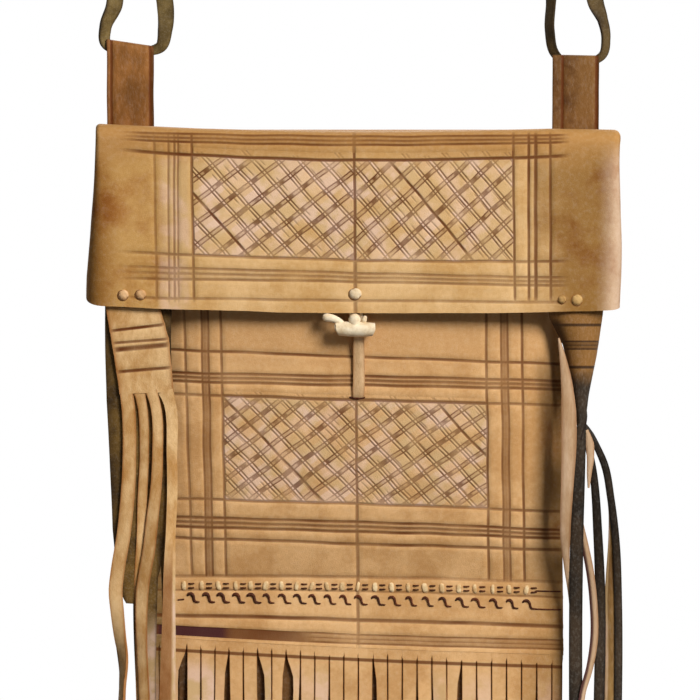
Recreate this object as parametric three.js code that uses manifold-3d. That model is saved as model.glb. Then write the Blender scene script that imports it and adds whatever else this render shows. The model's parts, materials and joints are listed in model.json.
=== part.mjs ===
// A hand-made leather shoulder bag: a fringed pouch under a deep tooled flap, hung from two strap loops.
// Millimetres. +X is to the right, -Y is the front, +Z is up.
// The origin is the hanging point, midway between the insides of the two loops' tops.

import * as THREE from 'three';
import { mergeVertices } from 'three/addons/utils/BufferGeometryUtils.js';
import Module from 'manifold-3d';

const wasm = await Module();
wasm.setup();

// Driving dimensions: the gap that touching pieces keep
const CLEARANCE = 0.3;

// Driving dimensions: the pouch
const POUCH_WIDTH = 234;
const POUCH_BULGE = 20;
const POUCH_HEIGHT = 255;
const MOUTH_BELOW_FLAP = 7;
const PANEL_LEATHER = 2;
const BACK_INSET = 4;
const SEAM_FLANGE = 6;
const APRON_HEIGHT = 38;
const FRINGE_LENGTH = 116;
const FRINGE_STRIPS = 28;
const FRINGE_SLIT = 0.8;

// Driving dimensions: the lacing that closes the pouch's foot
const LACE_STITCHES = 24;
const LACE_PITCH = 8.6;
const LACE_HEIGHT = 6;
const LACE_THICKNESS = 1.4;

// Driving dimensions: the flap and the yoke behind it
const HANG_TO_FLAP_TOP = 107.7;
const FLAP_DROP = 104.9;
const FLAP_WING = 34;
const FLAP_LEATHER = 2.2;
const FLAP_REACH = 28.5;
const FLAP_RETURN = 21;
const FLAP_CORNER_RADIUS = 9;
const YOKE_HEIGHT = 75;
const YOKE_INSET = 6;
const YOKE_CORNER_RADIUS = 14;

// Driving dimensions: the straps
const TAB_WIDTH = 26.8;
const TAB_LEATHER = 1.7;
const TAB_BELOW_FLAP_TOP = 42;
const TAB_TAPER = 10;
const LEFT_TAB_DEPTH = 58;
const RIGHT_TAB_DEPTH = 65;
const LOOP_STRAP_WIDTH = 7;
const LOOP_STRAP_THICKNESS = 2.2;
const LOOP_FOOT_RADIUS = 8;
const LOOP_HEAD_RADIUS = 20;
const TAB_LACE_SPREAD = 10;
const TAB_LACE_WIDTH = 3;
const TAB_LACE_THICKNESS = 1.6;
const TAB_LACE_BELOW_FLAP_TOP = 28;

// Driving dimensions: the closing strip, its toggle and the loop on the flap
const STRIP_WIDTH = 6.8;
const STRIP_THICKNESS = 1.8;
const STRIP_SLOT_DEPTH = 261;
const STRIP_TAIL = 10;
const TOGGLE_DEPTH = 222;
const TOGGLE_LENGTH = 22;
const TOGGLE_RADIUS = 4.25;
const TOGGLE_NECK_RADIUS = 2.3;
const TOGGLE_TAIL_RADIUS = 2.2;
const TOGGLE_TAIL_REACH = 19;
const TOGGLE_TAIL_RISE = 6.6;
const THONG_RADIUS = 1.1;
const KNOT_ABOVE_EDGE = 11;
const KNOT_RADIUS = 3.4;
const STEM_RADIUS = 1.4;

// Driving dimensions: the corner laces and the tassels
const TASSEL_BAND_WIDTH = 32;
const TASSEL_BAND_HEIGHT = 44;
const TASSEL_THICKNESS = 4;
const TASSEL_LENGTH = 316;
const TASSEL_STRANDS = 4;
const TASSEL_SLIT = 2.4;
const CORNER_KNOT_SPREAD = 10;
const CORNER_KNOT_ABOVE_EDGE = 10.3;

// Depths worked out from the rear to the front
const tunnelHalf = LOOP_STRAP_THICKNESS / 2 + CLEARANCE;
const tabBackY = tunnelHalf + TAB_LEATHER;
const tabFrontY = -tabBackY;
const yokeBackY = tabFrontY - CLEARANCE;
const yokeFrontY = yokeBackY - FLAP_LEATHER;
const backPanelFrontY = yokeBackY + CLEARANCE;
const flangeInnerY = backPanelFrontY - CLEARANCE;
const yokeLift = flangeInnerY - (yokeFrontY - CLEARANCE);
const hingeY = tabFrontY - CLEARANCE - FLAP_LEATHER / 2;
const flapInnerY = hingeY - FLAP_REACH;
const flapOuterY = flapInnerY - FLAP_LEATHER;

// Levels worked out from the hanging point down
const flapTopZ = -HANG_TO_FLAP_TOP;
const hingeZ = flapTopZ - FLAP_LEATHER / 2;
const flapEdgeZ = flapTopZ - FLAP_DROP;
const yokeTopZ = hingeZ - FLAP_LEATHER / 2 - CLEARANCE;
const yokeFootZ = yokeTopZ - YOKE_HEIGHT;
const mouthZ = flapTopZ - MOUTH_BELOW_FLAP;
const laceZ = mouthZ - POUCH_HEIGHT;
const pouchFootZ = laceZ + LACE_HEIGHT;
const fringeTopZ = laceZ - APRON_HEIGHT;
const fringeEndZ = fringeTopZ - FRINGE_LENGTH;

// Widths worked out from the pouch
const pouchHalf = POUCH_WIDTH / 2;
const backHalf = pouchHalf - BACK_INSET;
const flapHalf = pouchHalf + FLAP_WING;
const yokeHalf = flapHalf - YOKE_INSET;
const tabCentreX = backHalf + CLEARANCE + TAB_WIDTH / 2;
const loopInnerHalf = TAB_WIDTH / 2 + 2 * CLEARANCE;
const loopOuterHalf = loopInnerHalf + LOOP_STRAP_WIDTH;

// Directions in which the flat outlines below are drawn and then thickened
const FRONT_VIEW = new THREE.Matrix4().makeBasis(
  new THREE.Vector3(1, 0, 0),
  new THREE.Vector3(0, 0, 1),
  new THREE.Vector3(0, -1, 0),
);
const SIDE_VIEW = new THREE.Matrix4().makeBasis(
  new THREE.Vector3(0, 1, 0),
  new THREE.Vector3(0, 0, 1),
  new THREE.Vector3(1, 0, 0),
);

const CURVE_SEGMENTS = 4;
const ROUND_SIDES = 12;
const THONG_SEGMENTS = 4;
const THONG_STEPS = 24;

function extrude(shape, depth) {
  return new THREE.ExtrudeGeometry(shape, { depth, bevelEnabled: false, curveSegments: CURVE_SEGMENTS });
}

// An outline drawn in x and z, thickened from backY towards the front
function frontPlate(shape, thickness, backY) {
  return extrude(shape, thickness).applyMatrix4(FRONT_VIEW).translate(0, backY, 0);
}

// A section drawn in y and z, running along x about centreX
function sidePlate(shape, width, centreX) {
  return extrude(shape, width).applyMatrix4(SIDE_VIEW).translate(centreX - width / 2, 0, 0);
}

// A section drawn in x and y, running up from footZ
function upright(shape, height, footZ) {
  return extrude(shape, height).translate(0, 0, footZ);
}

function box(from, to) {
  const size = to.map((value, axis) => value - from[axis]);
  const middle = to.map((value, axis) => (value + from[axis]) / 2);
  return new THREE.BoxGeometry(...size).translate(...middle);
}

function polygon(points) {
  return new THREE.Shape(points.map(([u, v]) => new THREE.Vector2(u, v)));
}

function roundedRectangle(left, right, foot, top, footRadius, topRadius, PathClass) {
  const path = new PathClass();
  path.moveTo(left + footRadius, foot);
  path.lineTo(right - footRadius, foot);
  path.absarc(right - footRadius, foot + footRadius, footRadius, -Math.PI / 2, 0, false);
  path.lineTo(right, top - topRadius);
  path.absarc(right - topRadius, top - topRadius, topRadius, 0, Math.PI / 2, false);
  path.lineTo(left + topRadius, top);
  path.absarc(left + topRadius, top - topRadius, topRadius, Math.PI / 2, Math.PI, false);
  path.lineTo(left, foot + footRadius);
  path.absarc(left + footRadius, foot + footRadius, footRadius, Math.PI, 1.5 * Math.PI, false);
  return path;
}

// Boolean work: a closed geometry becomes a solid, and a solid becomes a geometry again
function solidOf(geometry) {
  const bare = geometry.clone();
  bare.deleteAttribute('normal');
  bare.deleteAttribute('uv');
  const merged = mergeVertices(bare, 1e-4);
  const vertProperties = new Float32Array(merged.attributes.position.array);
  const triVerts = new Uint32Array(merged.index.array);
  return new wasm.Manifold(new wasm.Mesh({ numProp: 3, vertProperties, triVerts }));
}

function geometryOf(solid) {
  const mesh = solid.getMesh();
  const geometry = new THREE.BufferGeometry();
  geometry.setAttribute('position', new THREE.BufferAttribute(mesh.vertProperties, 3));
  geometry.setIndex(new THREE.BufferAttribute(mesh.triVerts, 1));
  geometry.computeVertexNormals();
  return geometry;
}

function join(...geometries) {
  return geometryOf(geometries.map(solidOf).reduce((whole, piece) => whole.add(piece)));
}

function cut(geometry, cutters) {
  return geometryOf(cutters.map(solidOf).reduce((rest, cutter) => rest.subtract(cutter), solidOf(geometry)));
}

function intersect(first, second) {
  return geometryOf(solidOf(first).intersect(solidOf(second)));
}

// Colours of the leathers
const HIDE = { color: 0xc8985f, roughness: 0.6 };
const TAB_HIDE = { color: 0x96643a, roughness: 0.65 };
const STRAP_HIDE = { color: 0x7a6340, roughness: 0.7 };
const THONG = { color: 0xe8d2b4, roughness: 0.6 };
const TASSEL_HIDE = { color: 0xb98f5c, roughness: 0.6 };
const DARK_TASSEL_HIDE = { color: 0x6e4f30, roughness: 0.6 };

const bag = new THREE.Group();

function addPiece(name, geometry, leather) {
  const mesh = new THREE.Mesh(geometry, new THREE.MeshStandardMaterial({ ...leather, metalness: 0 }));
  mesh.name = name;
  bag.add(mesh);
}

// The pouch's front stands off its side flanges as a soft belly that runs out at the foot
const BELLY_SQUARENESS = 4;
const LIFT_RUN = 14;

function standOff(x, z) {
  const across = Math.min(Math.abs(x) / (pouchHalf - SEAM_FLANGE), 1);
  const down = THREE.MathUtils.clamp((mouthZ - z) / (mouthZ - pouchFootZ), 0, 1);
  const round = (1 - across ** BELLY_SQUARENESS) ** (1 / BELLY_SQUARENESS);
  const belly = POUCH_BULGE * round * (1 - down ** BELLY_SQUARENESS);
  const overYoke = yokeLift * THREE.MathUtils.smoothstep(z, yokeFootZ - LIFT_RUN, yokeFootZ - CLEARANCE);
  return Math.max(belly, overYoke);
}

function panelInnerY(x, z) {
  return flangeInnerY - standOff(x, z);
}

function panelOuterY(x, z) {
  return panelInnerY(x, z) - PANEL_LEATHER;
}

// Levels of the front panel's rows, closer together where the panel bends
function evenly(from, to, count) {
  return Array.from({ length: count }, (_, i) => from + ((to - from) * i) / count);
}

const YOKE_ROWS = 4;
const BELLY_ROWS = 8;
const PANEL_COLUMNS = 22;
const liftTopZ = yokeFootZ - CLEARANCE;
const liftFootZ = yokeFootZ - LIFT_RUN;
const panelRows = [
  ...evenly(mouthZ, liftTopZ, YOKE_ROWS),
  liftTopZ,
  ...evenly(liftFootZ, pouchFootZ, BELLY_ROWS),
  pouchFootZ,
  fringeEndZ,
];

function bentFront() {
  const rows = panelRows.length - 1;
  const sheet = new THREE.BoxGeometry(POUCH_WIDTH, PANEL_LEATHER, rows, PANEL_COLUMNS, 1, rows);
  const position = sheet.attributes.position;
  for (let i = 0; i < position.count; i += 1) {
    const x = position.getX(i);
    const z = panelRows[Math.round(rows / 2 - position.getZ(i))];
    const isInner = position.getY(i) > 0;
    position.setXYZ(i, x, isInner ? panelInnerY(x, z) : panelOuterY(x, z), z);
  }
  return sheet;
}

// Cuts through both panels: the fringe slits and the slots of the bottom lacing
const lacedFrontY = flangeInnerY - PANEL_LEATHER;
const backPanelBackY = backPanelFrontY + PANEL_LEATHER;
const throughFrontY = lacedFrontY - PANEL_LEATHER;
const throughBackY = backPanelBackY + PANEL_LEATHER;
const laceRunHalf = (LACE_STITCHES * LACE_PITCH - LACE_PITCH / 2) / 2;

function fringeSlits(halfWidth) {
  const pitch = (2 * halfWidth) / FRINGE_STRIPS;
  return Array.from({ length: FRINGE_STRIPS - 1 }, (_, i) => {
    const x = (i + 1) * pitch - halfWidth;
    return box(
      [x - FRINGE_SLIT / 2, throughFrontY, fringeEndZ - PANEL_LEATHER],
      [x + FRINGE_SLIT / 2, throughBackY, fringeTopZ],
    );
  });
}

// The thong goes down through one slot and up through the next, half a pitch along
function laceSlots() {
  const half = LACE_THICKNESS / 2 + CLEARANCE;
  return Array.from({ length: 2 * LACE_STITCHES }, (_, i) => {
    const x = (i * LACE_PITCH) / 2 - laceRunHalf;
    return box(
      [x - half, throughFrontY, laceZ - LACE_HEIGHT / 2 - CLEARANCE],
      [x + half, throughBackY, laceZ + LACE_HEIGHT / 2 + CLEARANCE],
    );
  });
}

function bottomLacing() {
  const half = LACE_THICKNESS / 2;
  const frontY = lacedFrontY - CLEARANCE;
  const backY = backPanelBackY + CLEARANCE;
  const nearSide = [];
  const farSide = [];
  for (let i = 0; i < 2 * LACE_STITCHES; i += 1) {
    const x = (i * LACE_PITCH) / 2 - laceRunHalf;
    const goesToFront = i % 2 === 0;
    const turn = goesToFront ? half : -half;
    nearSide.push([x - turn, goesToFront ? backY : frontY - LACE_THICKNESS]);
    nearSide.push([x - turn, goesToFront ? frontY - LACE_THICKNESS : backY]);
    farSide.push([x + turn, goesToFront ? backY + LACE_THICKNESS : frontY]);
    farSide.push([x + turn, goesToFront ? frontY : backY + LACE_THICKNESS]);
  }
  return upright(polygon([...nearSide, ...farSide.reverse()]), LACE_HEIGHT, laceZ - LACE_HEIGHT / 2);
}

// The closing strip comes out of a slot in the front panel and lies up its face
const stripTopZ = -TOGGLE_DEPTH + TOGGLE_RADIUS;
const slotZ = -STRIP_SLOT_DEPTH;
const STRIP_STEPS = 4;

function stripSlot() {
  const half = STRIP_THICKNESS / 2 + CLEARANCE;
  const halfWidth = STRIP_WIDTH / 2 + CLEARANCE;
  return box(
    [-halfWidth, panelOuterY(0, slotZ) - PANEL_LEATHER, slotZ - half],
    [halfWidth, panelInnerY(0, slotZ) + PANEL_LEATHER, slotZ + half],
  );
}

function closingStrip() {
  const half = STRIP_THICKNESS / 2;
  const outside = (z) => panelOuterY(0, z) - CLEARANCE;
  const inside = (z) => panelInnerY(0, z) + CLEARANCE;
  const tailZ = slotZ - STRIP_TAIL;
  const climb = [...evenly(slotZ, stripTopZ, STRIP_STEPS).slice(1), stripTopZ];
  const section = polygon([
    [outside(slotZ) - STRIP_THICKNESS, slotZ - half],
    [inside(slotZ - half), slotZ - half],
    [inside(tailZ), tailZ],
    [inside(tailZ) + STRIP_THICKNESS, tailZ],
    [inside(slotZ) + STRIP_THICKNESS, slotZ + half],
    [outside(slotZ), slotZ + half],
    ...climb.map((z) => [outside(z), z]),
    ...climb.reverse().map((z) => [outside(z) - STRIP_THICKNESS, z]),
  ]);
  return sidePlate(section, STRIP_WIDTH, 0);
}

// The toggle is a rolled bar on a short neck, with the loose end of the roll beside it
const stripFrontY = panelOuterY(0, -TOGGLE_DEPTH) - CLEARANCE - STRIP_THICKNESS;
const loopLegY = stripFrontY - CLEARANCE - THONG_RADIUS;
const toggleY = loopLegY - THONG_RADIUS - CLEARANCE - TOGGLE_RADIUS;

function rod(radius, from, to) {
  const start = new THREE.Vector3(...from);
  const along = new THREE.Vector3(...to).sub(start);
  const turn = new THREE.Quaternion().setFromUnitVectors(new THREE.Vector3(0, 1, 0), along.clone().normalize());
  const bar = new THREE.CylinderGeometry(radius, radius, along.length(), ROUND_SIDES);
  return bar.applyQuaternion(turn).translate(...start.addScaledVector(along, 0.5).toArray());
}

function toggleRoll() {
  const half = TOGGLE_LENGTH / 2;
  const tailZ = -TOGGLE_DEPTH + TOGGLE_TAIL_RISE;
  const tailRootZ = -TOGGLE_DEPTH + TOGGLE_TAIL_RADIUS;
  return join(
    rod(TOGGLE_RADIUS, [-half, toggleY, -TOGGLE_DEPTH], [half, toggleY, -TOGGLE_DEPTH]),
    rod(TOGGLE_NECK_RADIUS, [0, toggleY, -TOGGLE_DEPTH], [0, stripFrontY - CLEARANCE, -TOGGLE_DEPTH]),
    rod(TOGGLE_TAIL_RADIUS, [-half / 2, toggleY, tailRootZ], [-TOGGLE_TAIL_REACH, toggleY, tailZ]),
  );
}

// A knot is a domed head in front of the flap on a stem that goes through it
const holeRadius = STEM_RADIUS + CLEARANCE;
const HEAD_FLATNESS = 0.7;

function knot(x, z, stemEndY) {
  const headY = flapOuterY - CLEARANCE;
  const dome = new THREE.Path().absellipse(
    0, 0, KNOT_RADIUS, KNOT_RADIUS * HEAD_FLATNESS, 0, Math.PI / 2, false, 0,
  );
  const profile = [
    new THREE.Vector2(0, headY - stemEndY),
    new THREE.Vector2(STEM_RADIUS, headY - stemEndY),
    new THREE.Vector2(STEM_RADIUS, 0),
    ...dome.getPoints(CURVE_SEGMENTS).slice(0, -1),
    new THREE.Vector2(0, KNOT_RADIUS * HEAD_FLATNESS),
  ];
  return new THREE.LatheGeometry(profile, ROUND_SIDES).rotateX(Math.PI).translate(x, headY, z);
}

const knotZ = flapEdgeZ + KNOT_ABOVE_EDGE;
const cornerKnotZ = flapEdgeZ + CORNER_KNOT_ABOVE_EDGE;
const laceRunY = flapInnerY + CLEARANCE + STEM_RADIUS;

// The closing loop: two legs down from the knot behind the bar, meeting under its neck
function closingLoop() {
  const legX = STRIP_WIDTH / 2 + CLEARANCE + THONG_RADIUS;
  const startX = THONG_RADIUS + CLEARANCE / 2;
  const startY = flapInnerY + 2 * CLEARANCE + THONG_RADIUS;
  const underNeckZ = -TOGGLE_DEPTH - TOGGLE_NECK_RADIUS - CLEARANCE - THONG_RADIUS;
  const startZ = knotZ - STEM_RADIUS - CLEARANCE - THONG_RADIUS;
  const oneLeg = [
    [startX, startY, startZ],
    [legX, (startY + loopLegY) / 2, (startZ - TOGGLE_DEPTH + TOGGLE_RADIUS) / 2],
    [legX, loopLegY, -TOGGLE_DEPTH + TOGGLE_RADIUS],
    [legX, loopLegY, -TOGGLE_DEPTH],
  ];
  const points = [
    ...oneLeg.map(([x, y, z]) => new THREE.Vector3(-x, y, z)),
    new THREE.Vector3(0, loopLegY, underNeckZ),
    ...oneLeg.reverse().map(([x, y, z]) => new THREE.Vector3(x, y, z)),
  ];
  const extrudePath = new THREE.CatmullRomCurve3(points, false, 'centripetal');
  const section = new THREE.Shape().absarc(0, 0, THONG_RADIUS, 0, 2 * Math.PI, false);
  return new THREE.ExtrudeGeometry(section, {
    steps: THONG_STEPS, extrudePath, curveSegments: THONG_SEGMENTS, bevelEnabled: false,
  });
}

// The flap: front wall and turned-back sides in one round-cornered sweep, closed by the top that folds at the hinge
function flapShell() {
  const returnY = flapInnerY + FLAP_RETURN;
  const outer = FLAP_CORNER_RADIUS;
  const inner = outer - FLAP_LEATHER;
  const innerHalf = flapHalf - FLAP_LEATHER;
  const wall = new THREE.Shape();
  wall.moveTo(-flapHalf, returnY);
  wall.lineTo(-flapHalf, flapOuterY + outer);
  wall.absarc(-flapHalf + outer, flapOuterY + outer, outer, Math.PI, 1.5 * Math.PI, false);
  wall.lineTo(flapHalf - outer, flapOuterY);
  wall.absarc(flapHalf - outer, flapOuterY + outer, outer, -Math.PI / 2, 0, false);
  wall.lineTo(flapHalf, returnY);
  wall.lineTo(innerHalf, returnY);
  wall.lineTo(innerHalf, flapInnerY + inner);
  wall.absarc(innerHalf - inner, flapInnerY + inner, inner, 0, -Math.PI / 2, true);
  wall.lineTo(-innerHalf + inner, flapInnerY);
  wall.absarc(-innerHalf + inner, flapInnerY + inner, inner, -Math.PI / 2, -Math.PI, true);
  wall.lineTo(-innerHalf, returnY);
  const sides = upright(wall, FLAP_DROP, flapEdgeZ);

  const half = FLAP_LEATHER / 2;
  const top = new THREE.Shape();
  top.moveTo(flapInnerY, flapTopZ - FLAP_LEATHER);
  top.lineTo(hingeY, flapTopZ - FLAP_LEATHER);
  top.absarc(hingeY, hingeZ, half, -Math.PI / 2, Math.PI / 2, false);
  top.lineTo(flapOuterY, flapTopZ);
  top.lineTo(flapOuterY, flapTopZ - FLAP_LEATHER);
  const lid = sidePlate(top, 2 * (flapHalf - outer), 0);
  const ears = [-1, 1].map((side) => box(
    [Math.min(side * (flapHalf - outer), side * innerHalf) - CLEARANCE, flapInnerY + inner, flapTopZ - FLAP_LEATHER],
    [Math.max(side * (flapHalf - outer), side * innerHalf) + CLEARANCE, returnY, flapTopZ],
  ));

  const envelope = new THREE.Shape();
  const backY = hingeY + FLAP_LEATHER;
  envelope.moveTo(backY, flapEdgeZ);
  envelope.lineTo(backY, flapTopZ);
  envelope.lineTo(flapOuterY + outer, flapTopZ);
  envelope.absarc(flapOuterY + outer, flapTopZ - outer, outer, Math.PI / 2, Math.PI, false);
  envelope.lineTo(flapOuterY, flapEdgeZ);
  const rounded = intersect(join(sides, lid, ...ears), sidePlate(envelope, 2 * flapHalf, 0));

  const holes = [-1, 1].flatMap((side) => cornerKnotsX(side).map((x) => flapHole(x, cornerKnotZ)));
  return cut(rounded, [...holes, flapHole(0, knotZ)]);
}

function flapHole(x, z) {
  return rod(holeRadius, [x, flapOuterY - FLAP_LEATHER, z], [x, flapInnerY + FLAP_LEATHER, z]);
}

function cornerKnotsX(side) {
  return [-1, 1].map((end) => side * tabCentreX + (end * CORNER_KNOT_SPREAD) / 2);
}

// A corner lace: two knots on the flap, joined by one run of thong behind it
function cornerLace(side) {
  const [nearX, farX] = cornerKnotsX(side);
  return join(
    ...[nearX, farX].map((x) => knot(x, cornerKnotZ, laceRunY)),
    rod(STEM_RADIUS, [nearX - STEM_RADIUS, laceRunY, cornerKnotZ], [farX + STEM_RADIUS, laceRunY, cornerKnotZ]),
  );
}

// A tassel: a doubled band with a round fold at its top, slit into hanging strands
const foldRadius = TASSEL_THICKNESS / 2;
const tasselY = flapInnerY + 2 * CLEARANCE + foldRadius;
const tasselPivotZ = cornerKnotZ - STEM_RADIUS - CLEARANCE - foldRadius;

function tassel(side) {
  const endZ = tasselPivotZ - TASSEL_LENGTH;
  const section = new THREE.Shape();
  section.moveTo(tasselY - foldRadius, endZ);
  section.lineTo(tasselY + foldRadius, endZ);
  section.absarc(tasselY, tasselPivotZ, foldRadius, 0, Math.PI, false);
  const centreX = side * tabCentreX;
  const pitch = TASSEL_BAND_WIDTH / TASSEL_STRANDS;
  const slits = Array.from({ length: TASSEL_STRANDS - 1 }, (_, i) => {
    const x = centreX - TASSEL_BAND_WIDTH / 2 + (i + 1) * pitch;
    return box(
      [x - TASSEL_SLIT / 2, tasselY - TASSEL_THICKNESS, endZ - TASSEL_SLIT],
      [x + TASSEL_SLIT / 2, tasselY + TASSEL_THICKNESS, tasselPivotZ - TASSEL_BAND_HEIGHT],
    );
  });
  return cut(sidePlate(section, TASSEL_BAND_WIDTH, centreX), slits);
}

// A strap tab: leather folded over a narrow strap, the two layers pressed together below the fold
const tabFootZ = flapTopZ - TAB_BELOW_FLAP_TOP;
const tunnelHeight = LOOP_STRAP_WIDTH + 2 * CLEARANCE;

function tunnelTopZ(tabDepth) {
  return -tabDepth - TAB_LEATHER;
}

function strapTab(side, tabDepth) {
  const topZ = tunnelTopZ(tabDepth);
  const footZ = topZ - tunnelHeight;
  const layersBackY = tabFrontY + 2 * TAB_LEATHER;
  const section = new THREE.Shape();
  section.moveTo(tabFrontY, tabFootZ);
  section.lineTo(layersBackY, tabFootZ);
  section.lineTo(layersBackY, footZ - TAB_TAPER);
  section.lineTo(tabBackY, footZ);
  section.lineTo(tabBackY, topZ);
  section.absellipse(0, topZ, tabBackY, TAB_LEATHER, 0, Math.PI, false, 0);
  const tunnel = polygon([[-tunnelHalf, footZ], [tunnelHalf, footZ], [tunnelHalf, topZ], [-tunnelHalf, topZ]]);
  section.holes.push(tunnel);
  return cut(sidePlate(section, TAB_WIDTH, side * tabCentreX), tabLaceSlots(side));
}

function strapLoop(side, tabDepth) {
  const topZ = tunnelTopZ(tabDepth) - CLEARANCE;
  const footZ = topZ - LOOP_STRAP_WIDTH;
  const innerFoot = Math.max(LOOP_FOOT_RADIUS - LOOP_STRAP_WIDTH, CLEARANCE);
  const innerHead = LOOP_HEAD_RADIUS - LOOP_STRAP_WIDTH;
  const ring = roundedRectangle(
    -loopOuterHalf, loopOuterHalf, footZ, LOOP_STRAP_WIDTH, LOOP_FOOT_RADIUS, LOOP_HEAD_RADIUS, THREE.Shape,
  );
  ring.holes.push(roundedRectangle(-loopInnerHalf, loopInnerHalf, topZ, 0, innerFoot, innerHead, THREE.Path));
  return frontPlate(ring, LOOP_STRAP_THICKNESS, LOOP_STRAP_THICKNESS / 2).translate(side * tabCentreX, 0, 0);
}

// A tab lace: a thong through two slots in the tab and the yoke, tied into a flat ring
const tabLaceZ = flapTopZ - TAB_LACE_BELOW_FLAP_TOP;

function tabLaceSlots(side) {
  const half = TAB_LACE_THICKNESS / 2 + CLEARANCE;
  const halfHeight = TAB_LACE_WIDTH / 2 + CLEARANCE;
  return [-1, 1].map((end) => {
    const x = side * tabCentreX + (end * TAB_LACE_SPREAD) / 2;
    return box(
      [x - half, yokeFrontY - FLAP_LEATHER, tabLaceZ - halfHeight],
      [x + half, tabBackY + TAB_LEATHER, tabLaceZ + halfHeight],
    );
  });
}

function tabLace(side) {
  const half = TAB_LACE_SPREAD / 2;
  const grow = TAB_LACE_THICKNESS / 2;
  const frontY = yokeFrontY - CLEARANCE;
  const backY = tabFrontY + 2 * TAB_LEATHER + CLEARANCE;
  const ring = polygon([
    [-half - grow, frontY - TAB_LACE_THICKNESS],
    [half + grow, frontY - TAB_LACE_THICKNESS],
    [half + grow, backY + TAB_LACE_THICKNESS],
    [-half - grow, backY + TAB_LACE_THICKNESS],
  ]);
  ring.holes.push(polygon([
    [-half + grow, frontY],
    [half - grow, frontY],
    [half - grow, backY],
    [-half + grow, backY],
  ]));
  return upright(ring, TAB_LACE_WIDTH, tabLaceZ - TAB_LACE_WIDTH / 2).translate(side * tabCentreX, 0, 0);
}

function rearYoke() {
  const outline = roundedRectangle(
    -yokeHalf, yokeHalf, yokeFootZ, yokeTopZ, YOKE_CORNER_RADIUS, CLEARANCE, THREE.Shape,
  );
  return cut(frontPlate(outline, FLAP_LEATHER, yokeBackY), [-1, 1].flatMap(tabLaceSlots));
}

function backPanel() {
  const sheet = box([-backHalf, backPanelFrontY, fringeEndZ], [backHalf, backPanelBackY, mouthZ]);
  return cut(sheet, [...fringeSlits(backHalf), ...laceSlots()]);
}

function frontPanel() {
  return cut(bentFront(), [...fringeSlits(pouchHalf), ...laceSlots(), stripSlot()]);
}

addPiece('back_panel', backPanel(), HIDE);
addPiece('front_panel', frontPanel(), HIDE);
addPiece('bottom_lacing', bottomLacing(), THONG);
addPiece('rear_yoke', rearYoke(), HIDE);
addPiece('closing_strip', closingStrip(), THONG);
addPiece('toggle_roll', toggleRoll(), THONG);
addPiece('flap', flapShell(), HIDE);
addPiece('loop_knot', knot(0, knotZ, flapInnerY + CLEARANCE), THONG);
addPiece('closing_loop', closingLoop(), THONG);

const SIDES = [
  { name: 'left', side: -1, tabDepth: LEFT_TAB_DEPTH, tasselLeather: TASSEL_HIDE },
  { name: 'right', side: 1, tabDepth: RIGHT_TAB_DEPTH, tasselLeather: DARK_TASSEL_HIDE },
];
for (const { name, side, tabDepth, tasselLeather } of SIDES) {
  addPiece(`${name}_strap_tab`, strapTab(side, tabDepth), TAB_HIDE);
  addPiece(`${name}_strap_loop`, strapLoop(side, tabDepth), STRAP_HIDE);
  addPiece(`${name}_tab_lace`, tabLace(side), THONG);
  addPiece(`${name}_corner_lace`, cornerLace(side), THONG);
  addPiece(`${name}_tassel`, tassel(side), tasselLeather);
}

export default bag;
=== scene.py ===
# %% [markdown]
# # A tooled leather bag with fringe and tassels
#
# The real bag is cut from thin tan hide: a pouch, a deep flap that folds over it, two straps with loops,
# and two tassels at the flap's corners. Every piece of it is soft sheet, so almost every mesh here starts
# as a flat grid, as the hide does, and its points are then moved to where the leather hangs. The packed
# frame gives the places and the bodies that the pieces move with.

import json
import math

import bmesh
import bpy
import numpy as np
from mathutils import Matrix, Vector, noise


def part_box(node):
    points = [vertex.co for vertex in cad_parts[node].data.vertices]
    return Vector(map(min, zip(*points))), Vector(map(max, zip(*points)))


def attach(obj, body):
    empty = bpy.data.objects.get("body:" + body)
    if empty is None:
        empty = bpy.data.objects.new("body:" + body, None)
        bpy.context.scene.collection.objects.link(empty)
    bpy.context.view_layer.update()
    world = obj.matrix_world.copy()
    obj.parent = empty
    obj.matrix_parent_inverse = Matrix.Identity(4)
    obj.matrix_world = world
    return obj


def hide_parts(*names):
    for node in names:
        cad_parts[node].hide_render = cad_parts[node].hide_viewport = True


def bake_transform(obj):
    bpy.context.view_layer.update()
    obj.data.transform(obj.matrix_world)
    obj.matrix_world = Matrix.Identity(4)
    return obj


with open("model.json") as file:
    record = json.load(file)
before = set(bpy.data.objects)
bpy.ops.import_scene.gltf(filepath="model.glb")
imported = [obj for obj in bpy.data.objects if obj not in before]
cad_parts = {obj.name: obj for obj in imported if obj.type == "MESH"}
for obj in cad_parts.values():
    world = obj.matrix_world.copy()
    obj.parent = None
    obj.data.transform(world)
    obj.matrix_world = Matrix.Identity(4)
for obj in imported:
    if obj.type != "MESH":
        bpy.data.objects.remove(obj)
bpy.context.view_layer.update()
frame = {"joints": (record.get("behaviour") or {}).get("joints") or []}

# %% [markdown]
# ## A ruler for the picture
#
# The bag hangs square to the camera and far from it, so one scale serves the whole picture. Places on the
# front are written as picture points, across and down, and these helpers turn them into metres. Depth is
# never in the picture: it comes from the frame.

# %% Ruler
MM = 0.001
PIXEL = 0.57 * MM
CENTRE_PX = 356.0
HANG_PX = -60.0


def x_at(px):
    return (px - CENTRE_PX) * PIXEL


def z_at(py):
    return (HANG_PX - py) * PIXEL


def px_at(x):
    return x / PIXEL + CENTRE_PX


def py_at(z):
    return HANG_PX - z / PIXEL


for node in ("flap", "front_panel"):
    low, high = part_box(node)
    print(node, "spans picture points", round(px_at(low[0])), "to", round(px_at(high[0])))

# %% [markdown]
# ## Writing shaders as sums
#
# Leather colour is layers: clouds of tan, pores, dark tooled lines, burnished edges. Wiring that by hand
# is slow to read. A small class wraps one output socket, so that a sum in Python adds the Math nodes for
# it, and one method of the material makes every other kind of node.

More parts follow.
